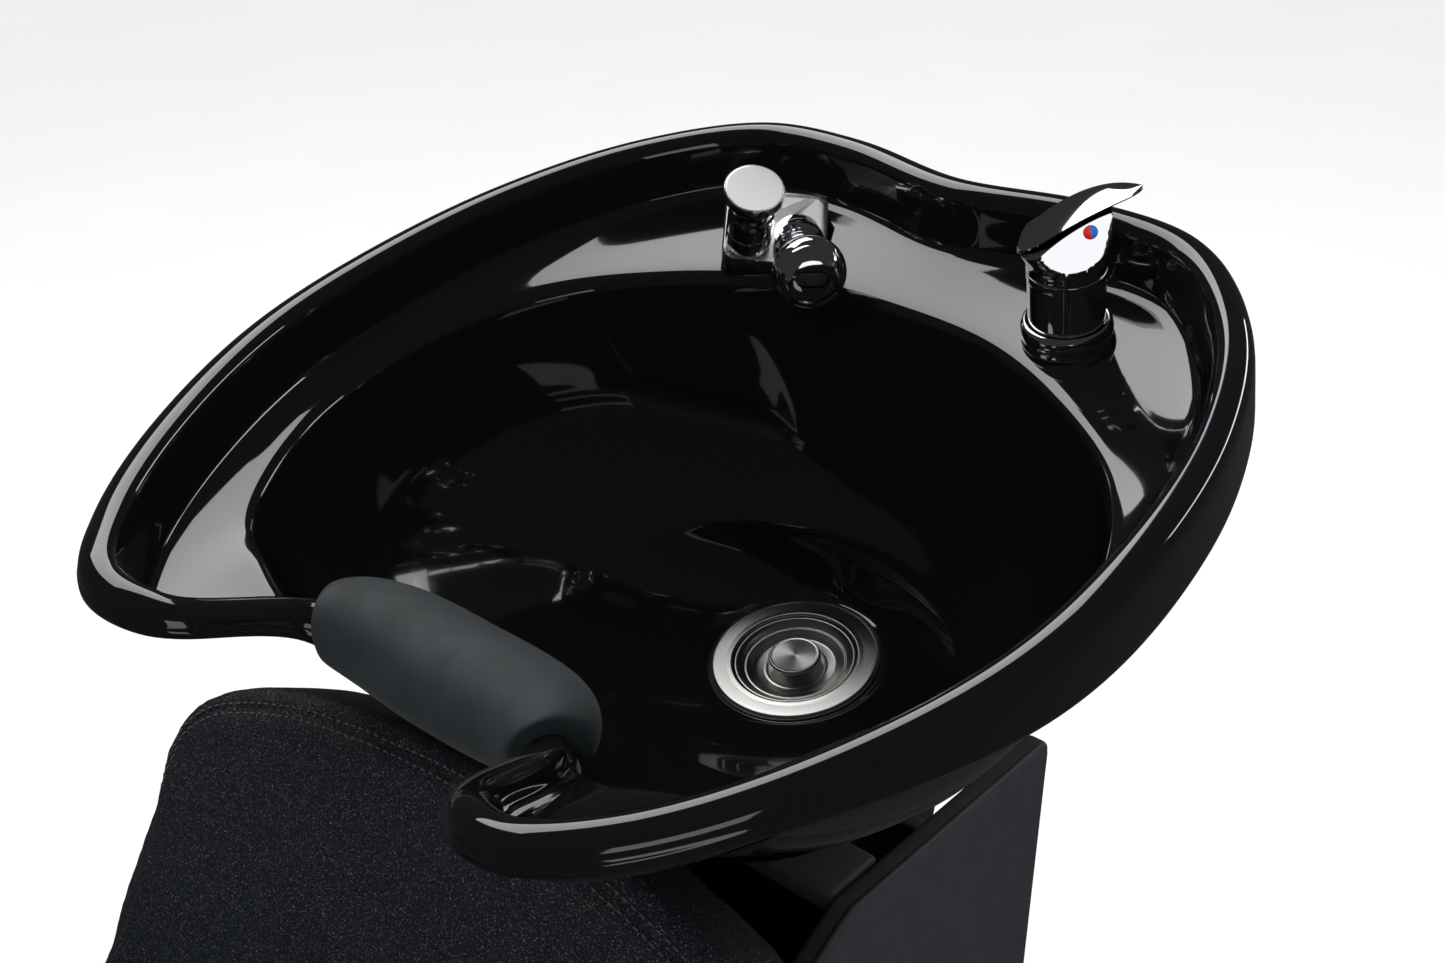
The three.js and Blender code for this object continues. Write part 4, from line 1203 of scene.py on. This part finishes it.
# ---- hardware under the bowl ----
HARDWARE = {
    "drain_gasket": ("rubber", 0.0008), "drain_locknut": ("brass", 0.0009), "tailpiece": ("chrome", 0.0003),
    "slip_nut": ("chrome", 0.0009), "mixer_locknut": ("brass", 0.0006),
    "shaft_nut": ("steel_hardware", 0.0008), "tilt_knob": ("rubber", 0.0022),
    "tilt_stand": ("black_steel", 0.0008), "bowl_bracket": ("black_steel", 0.0008),
    "tilt_shaft": ("steel_hardware", 0.0008), "bowl_bolt_1": ("steel_hardware", 0.0005),
    "bowl_bolt_2": ("steel_hardware", 0.0005),
}


def add_hardware():
    add_softened(HARDWARE)
    for k in range(4):
        low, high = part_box(f"foot_{k + 1}")
        place = Matrix.Translation(((low.x + high.x) / 2, (low.y + high.y) / 2, 0))
        foot = lathe(f"foot_pad_{k + 1}", [
            (0, 0), (16.4, 0), (17.6, 0.8), (18, 3), (17.2, 5), (14, 12), (11, 16), (10, 19.7), (0, 19.7),
        ], "rubber", place, 0.8, 64)
        belongs(foot, CHAIR, "rubber", f"foot_{k + 1}")


# ---- stage ----
def add_stage():
    size = 9
    verts = [(x, y, -0.0005) for x, y in ((-size, -size), (size, -size), (size, size), (-size, size))]
    floor = mesh_piece("floor", verts, [(0, 1, 2, 3)], "gloss_black")
    floor.data.materials[0] = pale_floor()
    floor.visible_glossy = False
    scene = bpy.context.scene
    scene.view_settings.view_transform = "Standard"
    world = bpy.data.worlds.new("studio")
    scene.world = world
    world.use_nodes = True
    nodes, links = world.node_tree.nodes, world.node_tree.links
    background = nodes["Background"]
    background.inputs["Strength"].default_value = 1.0
    path = nodes.new("ShaderNodeLightPath")
    mix = nodes.new("ShaderNodeMix")
    mix.data_type = "RGBA"
    mix.inputs["A"].default_value = (1.05, 1.05, 1.06, 1)
    mix.inputs["B"].default_value = (0.03, 0.03, 0.033, 1)
    links.new(path.outputs["Is Glossy Ray"], mix.inputs["Factor"])
    links.new(mix.outputs["Result"], background.inputs["Color"])


def area_light(name, at, target, size, radiance):
    """A rectangular softbox; radiance is what it shows in a mirror, so the power follows from its size."""
    data = bpy.data.lights.new(name, "AREA")
    data.shape = "RECTANGLE"
    data.size, data.size_y = size
    data.energy = radiance * math.pi * size[0] * size[1]
    light = bpy.data.objects.new(name, data)
    bpy.context.collection.objects.link(light)
    light.location = at
    light.rotation_euler = (Vector(target) - Vector(at)).to_track_quat("-Z", "Y").to_euler()
    return light


def add_lights():
    middle = RIM_CENTRE
    area_light("overhead", middle + Vector((-1.5, 0.6, 2.0)), middle, (2.2, 1.5), 2.7)
    area_light("rim_strip", middle + Vector((1.2, 2.6, 1.0)), middle, (2.2, 0.25), 5.0)
    area_light("front_card", middle + Vector((2.3, -1.7, -0.1)), middle, (1.2, 0.8), 1.1)
    for name, looks, at, size, radiance in CARDS:
        light = area_light(name, middle + Vector(at), middle, size, radiance)
        light.light_linking.receiver_collection = pieces_with(looks)


def pieces_with(looks):
    """A collection of the pieces that wear any of the looks, for a card that lights only them."""
    chosen = bpy.data.collections.new(looks[0] + "_pieces")
    for piece in bpy.context.scene.objects:
        worn = [slot.material.name for slot in piece.material_slots if slot.material]
        if any(look in looks for look in worn):
            chosen.objects.link(piece)
    return chosen


PLATED = ("chrome", "pale_chrome", "brushed_steel")
UPHOLSTERY = ("seat_vinyl", "panel_vinyl", "thread")
# name, looks it lights, place from the rim's middle, size, radiance
CARDS = (
    ("left_card", PLATED, (-2.2, -0.9, 0.5), (1.8, 1.4), 1.6),
    ("right_card", PLATED, (1.9, 0.3, 0.9), (1.2, 1.5), 1.6),
    ("rear_left_card", PLATED, (-2.2, 1.1, 1.25), (1.7, 1.8), 3.5),
    ("top_card", PLATED, (0.25, 0.2, 2.2), (1.4, 1.4), 0.85),
    ("front_high_card", PLATED, (0.2, -1.9, 2.2), (1.6, 1.0), 1.4),
    ("rear_card", PLATED, (0.3, 2.3, 0.9), (2.4, 0.7), 2.2),
    ("front_left_card", UPHOLSTERY, (-1.6, -2.0, 0.5), (1.8, 1.3), 1.8),
    ("crest_card", UPHOLSTERY, (-1.3, -0.2, 2.0), (1.0, 0.8), 6.0),
)


add_camera()
finish_cad_nodes()
add_bowl()
add_drain()
add_breaker()
add_spray()
add_mixer()
add_neck_rest()
add_back()
add_seat()
add_chair_frame()
add_pedestal()
add_hardware()
add_lights()
add_stage()
